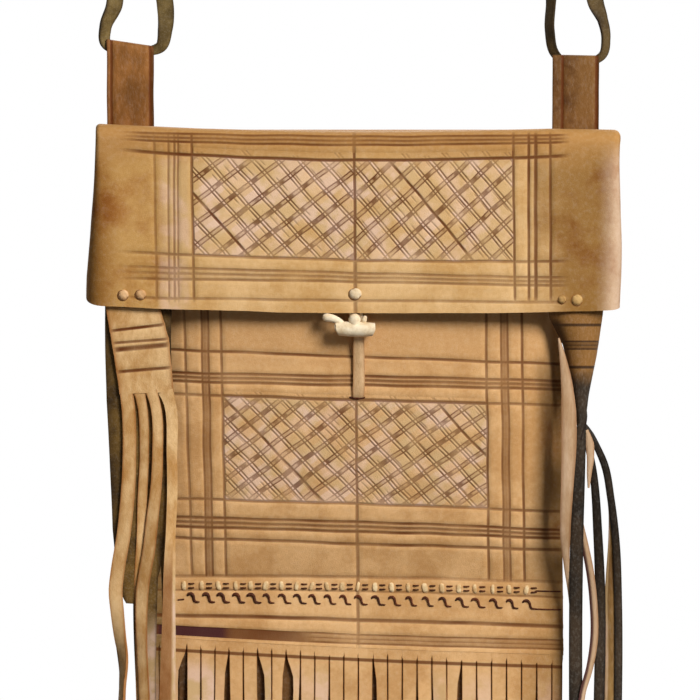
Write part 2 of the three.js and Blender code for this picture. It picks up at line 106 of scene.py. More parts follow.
# %% Shader helpers
def plug(tree, socket, value):
    if isinstance(value, Wire):
        tree.links.new(value.socket, socket)
    else:
        socket.default_value = value


class Wire:
    """One output socket. Sums written with it become Math nodes."""

    def __init__(self, tree, socket):
        self.tree = tree
        self.socket = socket

    def math(self, operation, first, second):
        node = self.tree.nodes.new("ShaderNodeMath")
        node.operation = operation
        plug(self.tree, node.inputs[0], first)
        plug(self.tree, node.inputs[1], second)
        return Wire(self.tree, node.outputs[0])

    def __add__(self, other):
        return self.math("ADD", self, other)

    def __radd__(self, other):
        return self.math("ADD", other, self)

    def __sub__(self, other):
        return self.math("SUBTRACT", self, other)

    def __rsub__(self, other):
        return self.math("SUBTRACT", other, self)

    def __mul__(self, other):
        return self.math("MULTIPLY", self, other)

    def __rmul__(self, other):
        return self.math("MULTIPLY", other, self)


class Finish:
    """A material being mixed, with a Principled shader at its end."""

    def __init__(self, name):
        self.material = bpy.data.materials.new(name)
        self.material.use_nodes = True
        self.tree = self.material.node_tree
        self.shader = self.tree.nodes["Principled BSDF"]

    def node(self, kind, settings=None, sockets=None, output=0):
        made = self.tree.nodes.new(kind)
        for key, value in (settings or {}).items():
            setattr(made, key, value)
        for key, value in (sockets or {}).items():
            plug(self.tree, made.inputs[key], value)
        return Wire(self.tree, made.outputs[output])

    def mix(self, share, first, second, blend="MIX"):
        settings = {"data_type": "RGBA", "blend_type": blend}
        return self.node("ShaderNodeMix", settings, {0: share, 6: first, 7: second}, 2)

    def clouds(self, where, scale, detail=4.0, rough=0.6):
        sockets = {"Vector": where, "Scale": scale, "Detail": detail, "Roughness": rough}
        return self.node("ShaderNodeTexNoise", None, sockets, "Fac")

    def rise(self, value, low, high):
        sockets = {"Value": value, "From Min": low, "From Max": high}
        return self.node("ShaderNodeMapRange", {"interpolation_type": "SMOOTHSTEP"}, sockets)

    def mark(self, name):
        return self.node("ShaderNodeAttribute", {"attribute_name": name}, None, "Fac")


def shade(red, green, blue):
    """A colour as a paint chart gives it, 0 to 255, in the renderer's linear numbers."""
    parts = []
    for value in (red, green, blue):
        part = value / 255
        parts.append(part / 12.92 if part <= 0.04045 else ((part + 0.055) / 1.055) ** 2.4)
    return (*parts, 1.0)


print("Tan hide in linear numbers:", [round(part, 3) for part in shade(205, 160, 115)])

# %% [markdown]
# ## Leather
#
# One recipe serves every hide on the bag, and the numbers change from piece to piece. Broad clouds shift
# the tan between a light and a dark tone, stretched along the grain. Pores come from a cell pattern well
# under a millimetre across. Four marks are stored on the points of each mesh: tooling, where a hot iron
# has ruled a line, cell, the pale diamonds inside a lattice and other pale or worn patches, with a
# painted highlight on the ridge between fine lattice lines and down one tassel strand, edge, where a cut
# side is burnished, with painted shade along the fringe slits and on the flap's turned-in right curl,
# and burn, where the iron was too hot. Edge and burn also darken the foot of one tassel strand, and burn
# one side of another.

# %% Leather recipe
GRAIN_CELLS = 1100.0
WRINKLES = 260.0
PATCHES = 13.0
STAINS = 30.0
FADE_RAGGED = 30 * MM
SPECULAR = 0.1
SHEEN_ROUGH = 0.5
BUMP_DEEP = 0.45 * MM
BUMP_STRENGTH = 0.45
BRIGHT = (1.0, 0.93, 0.82, 1.0)
BURNT = shade(62, 25, 32)
WORN_AND_HIGHLIGHT = (shade(212, 176, 126), shade(230, 194, 168))
LINE = (92, 42, 6)


def leather_finish(
    name, light, dark, tooled=LINE, ends=(), grain=1.0, cloud=22.0, rough=0.62, sheen=0.0, fade=None
):
    """Hide between two tones. Ends are tones that take over sideways, in millimetres: some are the hide's own
    tone, some are painted shade or a painted highlight at a side. Fade is one that takes over upwards; on
    the front it is painted shade under the flap. A grain under 1 draws the clouds out along the height."""
    light, dark, tooled = shade(*light), shade(*dark), shade(*tooled)
    mix = Finish(name)
    where = mix.node("ShaderNodeTexCoord", output="Object")
    along = mix.node("ShaderNodeMapping", None, {"Vector": where, "Scale": (1, 1, grain)})
    broad = mix.clouds(along, cloud, 5.0, 0.6)
    fine = mix.clouds(along, cloud * 20, 4.0, 0.65)
    middling = mix.clouds(along, cloud * 3.5, 4.0, 0.55)
    colour = mix.mix(mix.rise(broad + (middling - 0.5) * 0.6, 0.3, 0.7), dark, light)
    for tone, start, full, ragged in ends:
        sideways = mix.node("ShaderNodeSeparateXYZ", None, {"Vector": where}, "X")
        patch = mix.clouds(where, PATCHES, 3.0, 0.5)
        reach = mix.rise(sideways + (patch - 0.5) * (ragged * MM), start * MM, full * MM)
        colour = mix.mix(reach * 0.9, colour, shade(*tone))
        # Cloudy blotches darken each side tone further: stains on the hide's own tones, painted shade on the
        # shaded ones.
        stain_and_shade = mix.rise(mix.clouds(where, STAINS, 6.0, 0.65), 0.47, 0.7)
        colour = mix.mix(reach * stain_and_shade * 0.7, colour, dark, "MULTIPLY")
    if fade:
        upright = mix.node("ShaderNodeSeparateXYZ", None, {"Vector": where}, "Z")
        tone, low, high = fade
        colour = mix.mix(mix.rise(upright + (broad - 0.5) * FADE_RAGGED, low, high), colour, shade(*tone))
    colour = mix.mix(mix.rise(fine, 0.45, 0.75) * 0.05, colour, BRIGHT, "SCREEN")
    colour = mix.mix(mix.rise(fine, 0.55, 0.3) * 0.12, colour, dark, "MULTIPLY")
    # Pale tones for the cell mark: worn patches, the lattice diamonds and painted highlights.
    pale = mix.mix(mix.rise(middling, 0.4, 0.6), *WORN_AND_HIGHLIGHT)
    colour = mix.mix(mix.mark("cell"), colour, pale)
    colour = mix.mix(mix.mark("edge") * 0.7, colour, dark, "MULTIPLY")
    iron = mix.mark("tooling")
    colour = mix.mix(iron, colour, tooled)
    colour = mix.mix(mix.mark("burn"), colour, BURNT)
    cells = {"Vector": along, "Scale": GRAIN_CELLS}
    pores = mix.node("ShaderNodeTexVoronoi", {"feature": "DISTANCE_TO_EDGE"}, cells, "Distance")
    wrinkle = mix.clouds(along, WRINKLES, 5.0, 0.7)
    height = mix.rise(pores, 0.0, 0.16) * 0.35 + wrinkle * 0.9 - iron * 0.25
    bump = {"Strength": BUMP_STRENGTH, "Distance": BUMP_DEEP, "Height": height}
    plug(mix.tree, mix.shader.inputs["Base Color"], colour)
    plug(mix.tree, mix.shader.inputs["Roughness"], rough + (fine - 0.5) * 0.3 - iron * 0.12)
    plug(mix.tree, mix.shader.inputs["Normal"], mix.node("ShaderNodeBump", None, bump))
    mix.shader.inputs["Specular IOR Level"].default_value = SPECULAR
    mix.shader.inputs["Sheen Weight"].default_value = sheen
    mix.shader.inputs["Sheen Roughness"].default_value = SHEEN_ROUGH
    return mix.material


flap_hide = leather_finish(
    "flap hide", (224, 182, 126), (202, 156, 96),
    ends=(
        ((192, 146, 82), -75, -125, 70),
        # Painted shade: the left margin is darker where the flap curls away from the light.
        ((150, 102, 44), -132, -148, 15),
        ((142, 100, 44), 98, 125, 70),
        # Painted highlight: a pale band on the right rim where the curl faces the lamp.
        ((222, 190, 160), 136, 152.5, 12),
    ),
    fade=((182, 134, 76), z_at(172), z_at(142)),
)
front_hide = leather_finish(
    "front hide", (226, 178, 122), (200, 150, 94),
    # Painted shade: the front is darker along its left margin and towards its right side.
    ends=(((120, 90, 46), -104.5, -110, 10), ((166, 124, 72), 85, 116, 50)),
    # Painted shade: the front is darker at its top, under the flap.
    fade=((204, 156, 102), z_at(385), z_at(335)),
)
back_hide = leather_finish("back hide", (196, 150, 98), (160, 112, 62))
flesh = leather_finish("flesh side", (168, 128, 84), (124, 90, 52), rough=0.85, sheen=0.2)
# Painted shade: the right-hand tab is darker, to even out the key lamp on the right.
tab_hide = leather_finish(
    "tab hide", (160, 106, 54), (114, 72, 30), ends=(((124, 86, 44), 90, 110, 20),), grain=0.4, cloud=40.0
)
# Painted shade: the right-hand loop is darker, to even out the key lamp on the right.
strap_hide = leather_finish(
    "strap hide", (126, 104, 60), (86, 68, 34), ends=(((94, 74, 42), 80, 100, 20),), cloud=60.0
)
strap_flesh = leather_finish("strap flesh side", (206, 182, 138), (170, 142, 98), cloud=60.0)
thong = leather_finish("pale thong", (246, 228, 196), (220, 192, 150), (150, 100, 60), cloud=90.0)
strip_hide = leather_finish("strip hide", (228, 190, 144), (198, 158, 112), grain=0.4, cloud=60.0)
lace_hide = leather_finish("lacing thong", (238, 210, 162), (204, 164, 110), cloud=120.0)
knot_hide = leather_finish("knot thong", (226, 184, 136), (196, 148, 96), cloud=120.0)
worn_knot = leather_finish("worn knot thong", (200, 160, 100), (156, 114, 60), cloud=120.0)
# The dark rings round the knots: partly the punched hole and partly painted shadow.
punched = leather_finish("punched edge", (138, 90, 44), (108, 66, 30), cloud=120.0)
dark_thong = leather_finish("dark thong", (96, 46, 20), (62, 28, 12), cloud=90.0)
tassel_hide = leather_finish("tassel hide", (224, 184, 130), (184, 134, 74), grain=0.5, cloud=40.0)
shaded_hide = leather_finish("shaded tassel hide", (118, 88, 40), (66, 46, 18), cloud=40.0)
dark_hide = leather_finish(
    "dark tassel hide", (66, 52, 38), (40, 32, 24), (34, 18, 12), grain=0.6, cloud=40.0,
    fade=((140, 98, 50), z_at(386), z_at(358)),
)
pale_hide = leather_finish("pale tassel hide", (206, 172, 138), (176, 138, 98), grain=0.25, cloud=40.0)
olive_hide = leather_finish("olive tassel hide", (172, 134, 78), (116, 82, 42), grain=0.25, cloud=40.0)
# Painted shade: the back fringe's inner side is dark, so the gaps between the front strips read as shade.
fringe_shade = leather_finish("fringe lining", (112, 76, 40), (72, 48, 24))
print("Mixed", len(bpy.data.materials), "finishes with the frame's own")

# %% [markdown]
# ## From a flat grid to hanging leather
#
# A hide is a sheet, so each piece starts as create_grid makes it, and its points are moved as leather
# moves. Rows run up and columns run to the right, which keeps the grain side facing out. A Solidify
# modifier then gives the thickness, growing inwards, and the cut rim stays sharp.

# %% Sheet helper
MARKS = ("tooling", "cell", "edge", "burn")


def piece_from(shape, name, *finishes):
    """A smooth object in the scene, from a finished bmesh."""
    mesh = bpy.data.meshes.new(name)
    shape.to_mesh(mesh)
    shape.free()
    for polygon in mesh.polygons:
        polygon.use_smooth = True
    for finish in finishes:
        mesh.materials.append(finish)
    piece = bpy.data.objects.new(name, mesh)
    bpy.context.scene.collection.objects.link(piece)
    return piece


def sheet_of(x, y, z, **marks):
    """Grid points, row by row, with the marks on them."""
    return {"place": np.stack(np.broadcast_arrays(x, y, z), axis=2), **marks}


def leather(name, sheets, thickness, *finishes):
    """One piece from sheets of moved grid points, with the marks that its finish reads."""
    shape = bmesh.new()
    for sheet in sheets:
        rows, columns = sheet["place"].shape[:2]
        bmesh.ops.create_grid(shape, x_segments=columns - 1, y_segments=rows - 1, size=1)
    for edge in shape.edges:
        edge.smooth = not edge.is_boundary
    piece = piece_from(shape, name, *finishes)
    places = np.concatenate([sheet["place"].reshape(-1) for sheet in sheets])
    piece.data.vertices.foreach_set("co", places.astype(np.float32))
    for key in MARKS:
        parts = [np.broadcast_to(s.get(key, 0.0), s["place"].shape[:2]).reshape(-1) for s in sheets]
        layer = piece.data.attributes.new(key, "FLOAT", "POINT")
        layer.data.foreach_set("value", np.concatenate(parts).astype(np.float32))
    if thickness:
        wall = piece.modifiers.new("thickness", "SOLIDIFY")
        wall.thickness = thickness
        wall.offset = -1
        wall.material_offset = len(finishes) - 1
    print(name, "has", len(piece.data.polygons), "faces before its thickness")
    return piece


def settle(piece, body, node):
    """Attaches a piece to the body that it moves with, and hides the frame's node that it stands for."""
    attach(piece, body)
    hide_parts(node)


def unit(vectors):
    return vectors / np.linalg.norm(vectors, axis=-1, keepdims=True)


def smooth(value, low, high):
    share = np.clip((value - low) / (high - low), 0, 1)
    return share * share * (3 - 2 * share)


def ripple(across, along, size, seed):
    """A soft wave that never repeats, from -1 to 1, at each point of two arrays."""
    pairs = zip(np.ravel(across), np.ravel(along))
    waves = [noise.noise((a / size, b / size, seed)) for a, b in pairs]
    return np.array(waves).reshape(np.shape(across))


# %% [markdown]
# ## Ruled lines
#
# The maker ruled long lines across the wet hide with a hot tool, by eye, so they lean and bow a little.
# A bump map alone would look printed. Instead the grid's own rows and columns follow the lines: five of
# them make the walls and floor of each groove, and wider ones fill the plain leather between.

# %% Rows and columns that follow the lines
FILL = 0.32
PLAIN = ((0.0, 0.0),)
BAND = (
    (-1.0, 0.0), (-0.82, 0.9), (-0.62, 1.0), (-0.35, 0.6), (0.0, 0.7),
    (0.35, 0.6), (0.62, 1.0), (0.82, 0.9), (1.0, 0.0),
)
THREE = (
    (-1.0, 0.0), (-0.88, 0.85), (-0.72, 0.9), (-0.52, 0.45), (-0.2, 0.45), (0.0, 0.85),
    (0.2, 0.45), (0.52, 0.45), (0.72, 0.9), (0.88, 0.85), (1.0, 0.0),
)
TOOL_WIDTH = 1.5
WOBBLE_PX = 0.9
WOBBLE_SIZE_PX = 45.0
PRESS_SIZE_PX = 28.0
PRESS_MEAN = 0.97
PRESS_DRIFT = 0.3


def groove(before, after):
    """Steps across a groove from rim to rim, and how deep the tool went at each."""
    return ((-1.0, before), (-0.55, 0.85), (0.0, 1.0), (0.55, 0.85), (1.0, after))


GROOVE = groove(0.0, 0.0)
FIRST = groove(0.0, FILL)
MIDDLE = groove(FILL, FILL)
LAST = groove(FILL, 0.0)


def rule(lines, first, last, gap):
    """Rows from first to last that follow the lines, and how deep the tool went at each."""
    first = np.array(first, float)
    last = np.array(last, float)
    way = math.copysign(1, last[0] - first[0])
    rows = [first]
    depths = [0.0]
    for place, half, strength, *profile in lines + [(last, 0.0, 0.0)]:
        steps = profile[0] if profile else GROOVE if half else PLAIN
        marks = [np.array(place, float) + way * half * TOOL_WIDTH * step for step, _ in steps]
        before = rows[-1]
        spare = int(np.max(np.abs(marks[0] - before)) // gap)
        for count in range(1, spare + 1):
            rows.append(before + (marks[0] - before) * count / (spare + 1))
            depths.append(0.0)
        rows += marks
        depths += [strength * share for _, share in steps]
    return np.array(rows), np.array(depths)


def pressure(px, py, seed):
    """How hard the tool was leant on, which drifts along every line."""
    return PRESS_MEAN + PRESS_DRIFT * ripple(px, py, PRESS_SIZE_PX, seed)


def nearest(stations, line):
    return np.abs(stations - np.array(line)).sum(axis=1).argmin()


def sunk_bed(rows, columns, foot, over, left, right):
    """1 where a sheet lies under a patch of lattice, between its framing lines."""
    bed = np.zeros((len(rows), len(columns)))
    bed[nearest(rows, foot) + 1:nearest(rows, over), nearest(columns, left) + 1:nearest(columns, right)] = 1
    return bed


def crossings(rows, row_stations, columns, column_stations):
    """Picture points where bowed rows meet leaning columns."""
    bow = np.polyfit(row_stations, rows.T, 2)
    top, foot = column_stations
    down = np.full((len(rows), len(columns)), (top + foot) / 2)
    for _ in range(4):
        lean = (down - top) / (foot - top)
        across = columns[:, 0] + (columns[:, 1] - columns[:, 0]) * lean
        down = bow[0][:, None] * across**2 + bow[1][:, None] * across + bow[2][:, None]
    wander = WOBBLE_PX * ripple(across, down, WOBBLE_SIZE_PX, 3.3)
    sink = WOBBLE_PX * ripple(across, down, WOBBLE_SIZE_PX, 7.7)
    return across + wander, down + sink


# %% [markdown]
# ## The lattice
#
# The middle of the flap and of the front carry a lattice of crossed rulings with pale diamonds between.
# One comb of fine double lines leans one way and a comb of bands, some filled in with a hot tool, leans
# the other. The combs are uneven, as ruling by eye is. The patch is a fine grid of its own, so that the
# lines are really sunk, and it lies in a shallow bed in the larger sheet.

# %% Lattice pattern
FALL_PITCH_PX = 16.2
RISE_PITCH_PX = 17.4
FALL_WANDER_PX = 2.2
RISE_WANDER_PX = 1.8
BEND_PX = 1.2
BEND_SIZE_PX = 30.0
FADE_PX = 14.0
SMUDGE_PX = 14.0
PAIR_APART_PX = 1.6
RAILS_APART_PX = 1.9
FINE_HALF_PX = 0.85
HEAVY_HALF_PX = 1.6
FILLED_HALF_PX = 2.3
SCRATCH_HALF_PX = 0.75
SCRATCH_WANDER_PX = 3.5
LATTICE_STEP_PX = 0.6
OVERSHOOT_PX = 8.0
RIM_PX = 1.9
SIDE_PX = 1.8
GROOVE_DEEP = 0.5 * MM
BED_DEEP = 0.9 * MM


def comb(value, pitch, wander, seed):
    """The nearest line of an uneven comb, and how far off it is."""
    count = np.rint(value / pitch)
    centre = pitch * count + wander * np.sin(count * 12.99 + seed)
    return count, np.abs(value - centre)


def stroke(distance, offset, half):
    return np.clip(1.4 - 1.4 * (np.abs(distance - offset) / half) ** 2, 0, 1)


def lattice(px, py, above, seed, fall_lean, rise_lean, size):
    """How dark the rulings are, and how pale the diamonds and the painted highlight between fine pairs, at
    picture points.
    """
    fall_lean = math.radians(fall_lean)
    rise_lean = math.radians(rise_lean)
    fall_pitch = FALL_PITCH_PX * size
    rise_pitch = RISE_PITCH_PX * size
    bend = BEND_PX * ripple(px, py, BEND_SIZE_PX, seed)
    falling = px * math.sin(fall_lean) - py * math.cos(fall_lean) + bend
    rising = px * math.sin(rise_lean) + py * math.cos(rise_lean) + bend
    fall_count, fall = comb(falling, fall_pitch, FALL_WANDER_PX, seed)
    rise_count, rise = comb(rising, rise_pitch, RISE_WANDER_PX, seed + 2)
    press = 0.95 + 0.45 * ripple(px, py, SMUDGE_PX, seed + 5)
    heavy = np.mod(fall_count * 7 + seed, 11) < 1
    double = 0.84 * stroke(fall, PAIR_APART_PX, FINE_HALF_PX)
    pair = np.where(heavy, stroke(fall, 0.0, HEAVY_HALF_PX), double)
    rails = 0.8 * stroke(rise, RAILS_APART_PX, FINE_HALF_PX)
    filled = smooth(ripple(rising / 4, falling, 9.0, seed + 9), -0.1, 0.3)
    woven = np.where(heavy, 1, smooth(fall, 0.5, 1.1))
    bands = (0.26 + 0.52 * filled) * (rise < FILLED_HALF_PX) * woven
    _, faint = comb(falling + 0.5 * fall_pitch, fall_pitch, SCRATCH_WANDER_PX, seed + 4)
    here = smooth(ripple(px, py, 24.0, seed + 8), 0.0, 0.2)
    scratch = 0.55 * stroke(faint, 0.0, SCRATCH_HALF_PX) * here
    carry = OVERSHOOT_PX * np.mod(np.sin(fall_count * 91.7 + seed) * 437.5, 1)
    pair = pair * (above <= np.where(carry > 3, carry, 0)) * np.where(above > 0, 0.6, 1)
    dark = np.maximum(pair, np.maximum.reduce([rails, bands, scratch]) * (above <= 0))
    dark = np.clip(dark * press, 0, 1)
    toss = np.mod(np.sin(np.floor(falling / fall_pitch) * 78.2 + rise_count * 37.7) * 437.5, 1)
    # Painted highlight: a pale ridge between the two lines of each fine pair.
    pale = np.where((fall < 0.7) & ~heavy, 0.95, 0.2 + 0.65 * toss)
    return dark, pale


def between(first, last, step):
    """Lines from first to last, a step apart at their widest."""
    first = np.array(first)
    last = np.array(last)
    count = int(np.max(np.abs(last - first)) / step)
    return first + (last - first) * np.linspace(0, 1, count)[:, None]


def lattice_field(
    name, body, node, halves, rows, row_stations, column_stations, depth, finish, seed, size, rim
):
    """Fine patches of the lattice, framed by their rulings. Some lines run on past the top one."""
    foot, top, over = rows
    field_rows = between(foot, top, LATTICE_STEP_PX)
    fine_rows = np.concatenate([field_rows, between(top, over, LATTICE_STEP_PX)[1:]])
    up = (np.arange(len(fine_rows)) * LATTICE_STEP_PX)[:, None]
    field_top = (len(field_rows) - 1) * LATTICE_STEP_PX
    for side, (first, last, leans) in halves.items():
        fine_columns = between(first, last, LATTICE_STEP_PX)
        px, py = crossings(fine_rows, row_stations, fine_columns, column_stations)
        along = (np.arange(len(fine_columns)) * LATTICE_STEP_PX)[None, :]
        dark, pale = lattice(px, py, np.maximum(up - field_top, 0), seed, *leans, size)
        margin = np.minimum(np.minimum(up, np.abs(field_top - up)), FADE_PX)
        dark = dark * rim**0.5 * (0.6 + 0.4 * smooth(margin, 0, FADE_PX))
        pale = np.where(up > field_top, 0, pale)
        across_rim = rim * np.maximum(0.75 * stroke(up, 0, RIM_PX), stroke(up, field_top, RIM_PX))
        along_rim = 0.92 * rim * np.maximum(stroke(along, 0, SIDE_PX), stroke(along, along.max(), SIDE_PX))
        dark = np.maximum(dark, np.maximum(across_rim, along_rim))
        x = x_at(px)
        z = z_at(py)
        patch = sheet_of(x, depth(x, z) + GROOVE_DEEP * dark, z, tooling=dark, cell=pale)
        settle(leather(name + side, [patch], 0, finish), body, node)


# %% [markdown]
# ## The front of the pouch
#
# The front panel is laced to the back along its sides and bellies out between them, fullest at the mouth
# and flat at the lacing near its foot. The belly is a squared-off arch that fades on the way down, as the
# frame has it, with slow dents over it so that it reads as soft hide and not as a tray.

# %% Shape of the front
front_low, front_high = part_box("front_panel")
MOUTH_Z = front_high[2]
FRINGE_END_Z = front_low[2]
BELLY = 20 * MM
BELLY_HALF = 111 * MM
BELLY_DEEP = 249 * MM
FLAT_Y = -5.4 * MM
YOKE_LIFT = 2.5 * MM
YOKE_FOOT_Z = -185.5 * MM
HIDE = 2.0 * MM
FRONT_DENTS = ((1.1, 60, 1.5), (0.35, 14, 4.5))
LIFT_PARTS = 14 * MM
DENTS_FULL = 8 * MM


def dents(x, z, kinds):
    """Waves of soft hide. Each kind has a depth and a size in millimetres, and a seed."""
    return sum(deep * MM * ripple(x, z, size * MM, seed) for deep, size, seed in kinds)


def front_y(x, z):
    """Depth of the front panel's grain side."""
    side = np.minimum(np.abs(x) / BELLY_HALF, 1)
    down = np.clip((MOUTH_Z - z) / BELLY_DEEP, 0, 1)
    belly = BELLY * (1 - side**4) ** 0.25 * (1 - down**4)
    lift = YOKE_LIFT * smooth(z, YOKE_FOOT_Z - LIFT_PARTS, YOKE_FOOT_Z)
    return FLAT_Y - np.maximum(belly, lift) + dents(x, z, FRONT_DENTS) * smooth(belly, 0, DENTS_FULL)


print("Mouth at picture row", round(py_at(MOUTH_Z)), "and fringe end at", round(py_at(FRINGE_END_Z)))

# %% Front panel with its ruled lines
FRONT_STATIONS = (180.0, 355.0, 560.0)
FRONT_LEANS = (325.0, 575.0)
FRINGE_LINE = (651.2, 660.4, 667.8)
SLIT_RISE_PX = 12.0
FRONT_FOOT = tuple(height - SLIT_RISE_PX for height in FRINGE_LINE)
FRONT_MOUTH = (py_at(MOUTH_Z),) * 3
FIELD_TOP = (394.3, 400.0, 405.0)
FIELD_FOOT = (499.0, 504.0, 512.0)
FIELD_OVER = (389.4, 395.0, 400.0)
FIELD_LEFT = (220.5, 225.7)
FIELD_RIGHT = (486.0, 489.0)
LACE_TOP = (576.6, 577.7, 583.0)
FOOT_BAND = (632.0, 639.7, 645.6)
front_rulings = [
    (FOOT_BAND, 3.8, 0.82, THREE),
    ((616.3, 620.4, 627.5), 1.7, 0.86),
    ((590.5, 591.8, 598.5), 1.0, 0.5),
    (LACE_TOP, 1.4, 0.44),
    ((538.0, 544.0, 551.0), 1.4, 0.76),
    ((527.0, 531.8, 539.2), 1.3, 0.85, FIRST),
    ((522.3, 527.0, 535.0), 1.3, 0.75, MIDDLE),
    ((517.5, 522.2, 530.8), 1.3, 0.85, LAST),
    (FIELD_FOOT, 1.3, 0.68),
    (FIELD_TOP, 1.3, 0.64),
    (FIELD_OVER, 0.0, 0.0),
    ((381.5, 385.2, 389.0), 1.3, 0.82, FIRST),
    ((377.2, 380.8, 384.8), 1.3, 0.75, MIDDLE),
    ((373.0, 376.5, 380.6), 1.3, 0.85, LAST),
    ((350.0, 357.0, 363.5), 1.3, 0.78),
]
CENTRE_LINE = (355.0, 357.7)
front_uprights = [
    ((184.0, 191.6), 1.2, 0.6),
    ((204.6, 209.2), 3.2, 0.75, BAND),
    (FIELD_LEFT, 1.2, 0.68),
    (CENTRE_LINE, 1.5, 0.66),
    (FIELD_RIGHT, 1.2, 0.75),
    ((504.0, 507.6), 3.2, 0.75, BAND),
    ((522.0, 524.8), 1.2, 0.8),
]
FRONT_LEFT = (151.0, 151.0)
FRONT_RIGHT = (562.0, 563.5)
FRONT_GAP_PX = 4.6
LINES_START_PX = (152, 157)
LINES_STOP_PX = (565, 561)
FILLED_FROM_PX = 155
FILLED_TO_PX = (330, 296)
BURNT_TO_PX = (232, 220)
FILLED_SHARE = 0.88
BURNT_SHARE = 0.85
BURNT_SOFT_PX = 5
CENTRE_WIDE_PX = 3

rows, row_press = rule(front_rulings, FRONT_FOOT, FRONT_MOUTH, FRONT_GAP_PX)
columns, column_press = rule(front_uprights, FRONT_LEFT, FRONT_RIGHT, FRONT_GAP_PX)
px, py = crossings(rows, FRONT_STATIONS, columns, FRONT_LEANS)
across_lines = row_press[:, None] * smooth(px, *LINES_START_PX) * smooth(px, *LINES_STOP_PX)
band_row = nearest(rows, FOOT_BAND)
inner = slice(band_row - 4, band_row + 5)
band_px = px[inner]
filled = FILLED_SHARE * smooth(band_px, *FILLED_TO_PX) * (band_px > FILLED_FROM_PX)
across_lines[inner] = np.maximum(across_lines[inner], filled)
burn = np.zeros_like(px)
burnt_from = smooth(band_px, FILLED_FROM_PX, FILLED_FROM_PX + BURNT_SOFT_PX)
burn[inner] = BURNT_SHARE * smooth(band_px, *BURNT_TO_PX) * burnt_from
above_lacing = (np.arange(len(rows)) >= nearest(rows, LACE_TOP))[:, None]
at_centre = (np.abs(columns[:, 0] - CENTRE_LINE[0]) < CENTRE_WIDE_PX)[None, :]
up_lines = column_press[None, :] * (above_lacing | at_centre)
tooling = np.clip(np.maximum(across_lines, up_lines) * pressure(px, py, 2.2), 0, 1)
bed = sunk_bed(rows, columns, FIELD_FOOT, FIELD_OVER, FIELD_LEFT, FIELD_RIGHT)
x = x_at(px)
z = z_at(py)
y = front_y(x, z) + GROOVE_DEEP * tooling * (1 - bed) + BED_DEEP * bed
front = leather("front_hide_sheet", [sheet_of(x, y, z, tooling=tooling, burn=burn)], HIDE, front_hide, flesh)
settle(front, "pouch", "front_panel")

# %% Lattice on the front
halves = {
    "left": (FIELD_LEFT, CENTRE_LINE, (46, 37)),
    "right": (CENTRE_LINE, FIELD_RIGHT, (47, 34)),
}
lattice_field(
    "front_lattice_", "pouch", "front_panel", halves, (FIELD_FOOT, FIELD_TOP, FIELD_OVER),
    FRONT_STATIONS, FRONT_LEANS, front_y, front_hide, seed=1.0, size=0.88, rim=0.76
)

# %% [markdown]
# ## The flap
#
# The flap is one hide that starts on the back of the pouch as a yoke, folds over the top and hangs down
# the front, so here it is one sheet as well. Its sides curl back round the pouch, more at the foot than
# at the fold.

# %% Shape of the flap
FLAP_Y = -35.2 * MM
SHOULDER = 9 * MM
FLAP_HIDE = 2.2 * MM
FLAP_DENTS = ((0.9, 70, 11.5), (0.3, 16, 14.5))
hinge = next(joint for joint in frame["joints"] if joint["name"] == "flap_hinge")
_, HINGE_Y, HINGE_Z = hinge["pos_m"]
FOLD = 1.1 * MM
TOP_ACROSS = (88, 97, 150, 200, 265, 350, 440, 550, 614, 624)
TOP_DOWN = (124.5, 123.5, 126, 128.3, 130, 131.5, 131, 128.5, 129.5, 132)


def flap_top(px):
    return np.interp(px, TOP_ACROSS, TOP_DOWN)


def flap_y(x, z):
    """Depth of the flap's grain side, which rounds over at the top."""
    top = z_at(flap_top(px_at(x)))
    over = np.clip((z - top + SHOULDER) / SHOULDER, 0, 1)
    return FLAP_Y + SHOULDER * (1 - np.sqrt(1 - over**2)) + dents(x, z, FLAP_DENTS) * (1 - over)


print("The flap's front lies", round((HINGE_Y - FLAP_Y) / MM, 1), "mm forward of its hinge")

# %% Flap with its ruled lines
FLAP_STATIONS = (185.0, 355.0, 540.0)
FLAP_LEANS = (155.0, 299.0)
FLAP_EDGE = (309.5, 313.2, 312.0)
FLAP_TOP = (127.8, 131.5, 128.7)
FLAP_FIELD_TOP = (154.8, 160.6, 157.0)
FLAP_FIELD_FOOT = (254.6, 260.3, 261.3)
FLAP_FIELD_OVER = (147.0, 152.8, 149.2)
FLAP_FIELD_LEFT = (191.8, 194.3)
FLAP_FIELD_RIGHT = (513.2, 514.8)
FLAP_CENTRE = (354.2, 355.6)
flap_rulings = [
    ((298.3, 300.6, 302.0), 1.3, 0.5),
    ((279.2, 281.9, 285.4), 1.2, 0.62, FIRST),
    ((273.5, 277.6, 281.4), 1.2, 0.55, MIDDLE),
    ((268.2, 273.2, 277.2), 1.2, 0.62, LAST),
    (FLAP_FIELD_FOOT, 1.3, 0.62),
    (FLAP_FIELD_TOP, 1.5, 0.92),
    (FLAP_FIELD_OVER, 0.0, 0.0),
    ((142.2, 145.2, 142.8), 1.0, 0.82, FIRST),
    ((138.2, 140.8, 139.0), 1.0, 0.7, MIDDLE),
    ((134.0, 136.4, 135.1), 1.0, 0.75, LAST),
]
flap_uprights = [
    ((154.5, 157.0), 1.2, 0.46),
    ((168.4, 169.4), 0.9, 0.5),
    ((174.2, 175.0), 1.0, 0.55),
    ((178.0, 179.0), 0.9, 0.55),
    (FLAP_FIELD_LEFT, 1.2, 0.72),
    (FLAP_CENTRE, 1.7, 0.64),
    (FLAP_FIELD_RIGHT, 1.2, 0.78),
    ((528.3, 528.8), 1.2, 0.88),
    ((535.3, 535.8), 1.6, 0.85),
    ((550.2, 550.8), 1.2, 0.75),
]
FLAP_LEFT = (101.0, 105.2)
FLAP_RIGHT = (612.3, 605.0)
FLAP_GAP_PX = 5.0
TOP_SHARES = (0.7, 0.42, 0.2, 0.06, 0.0)
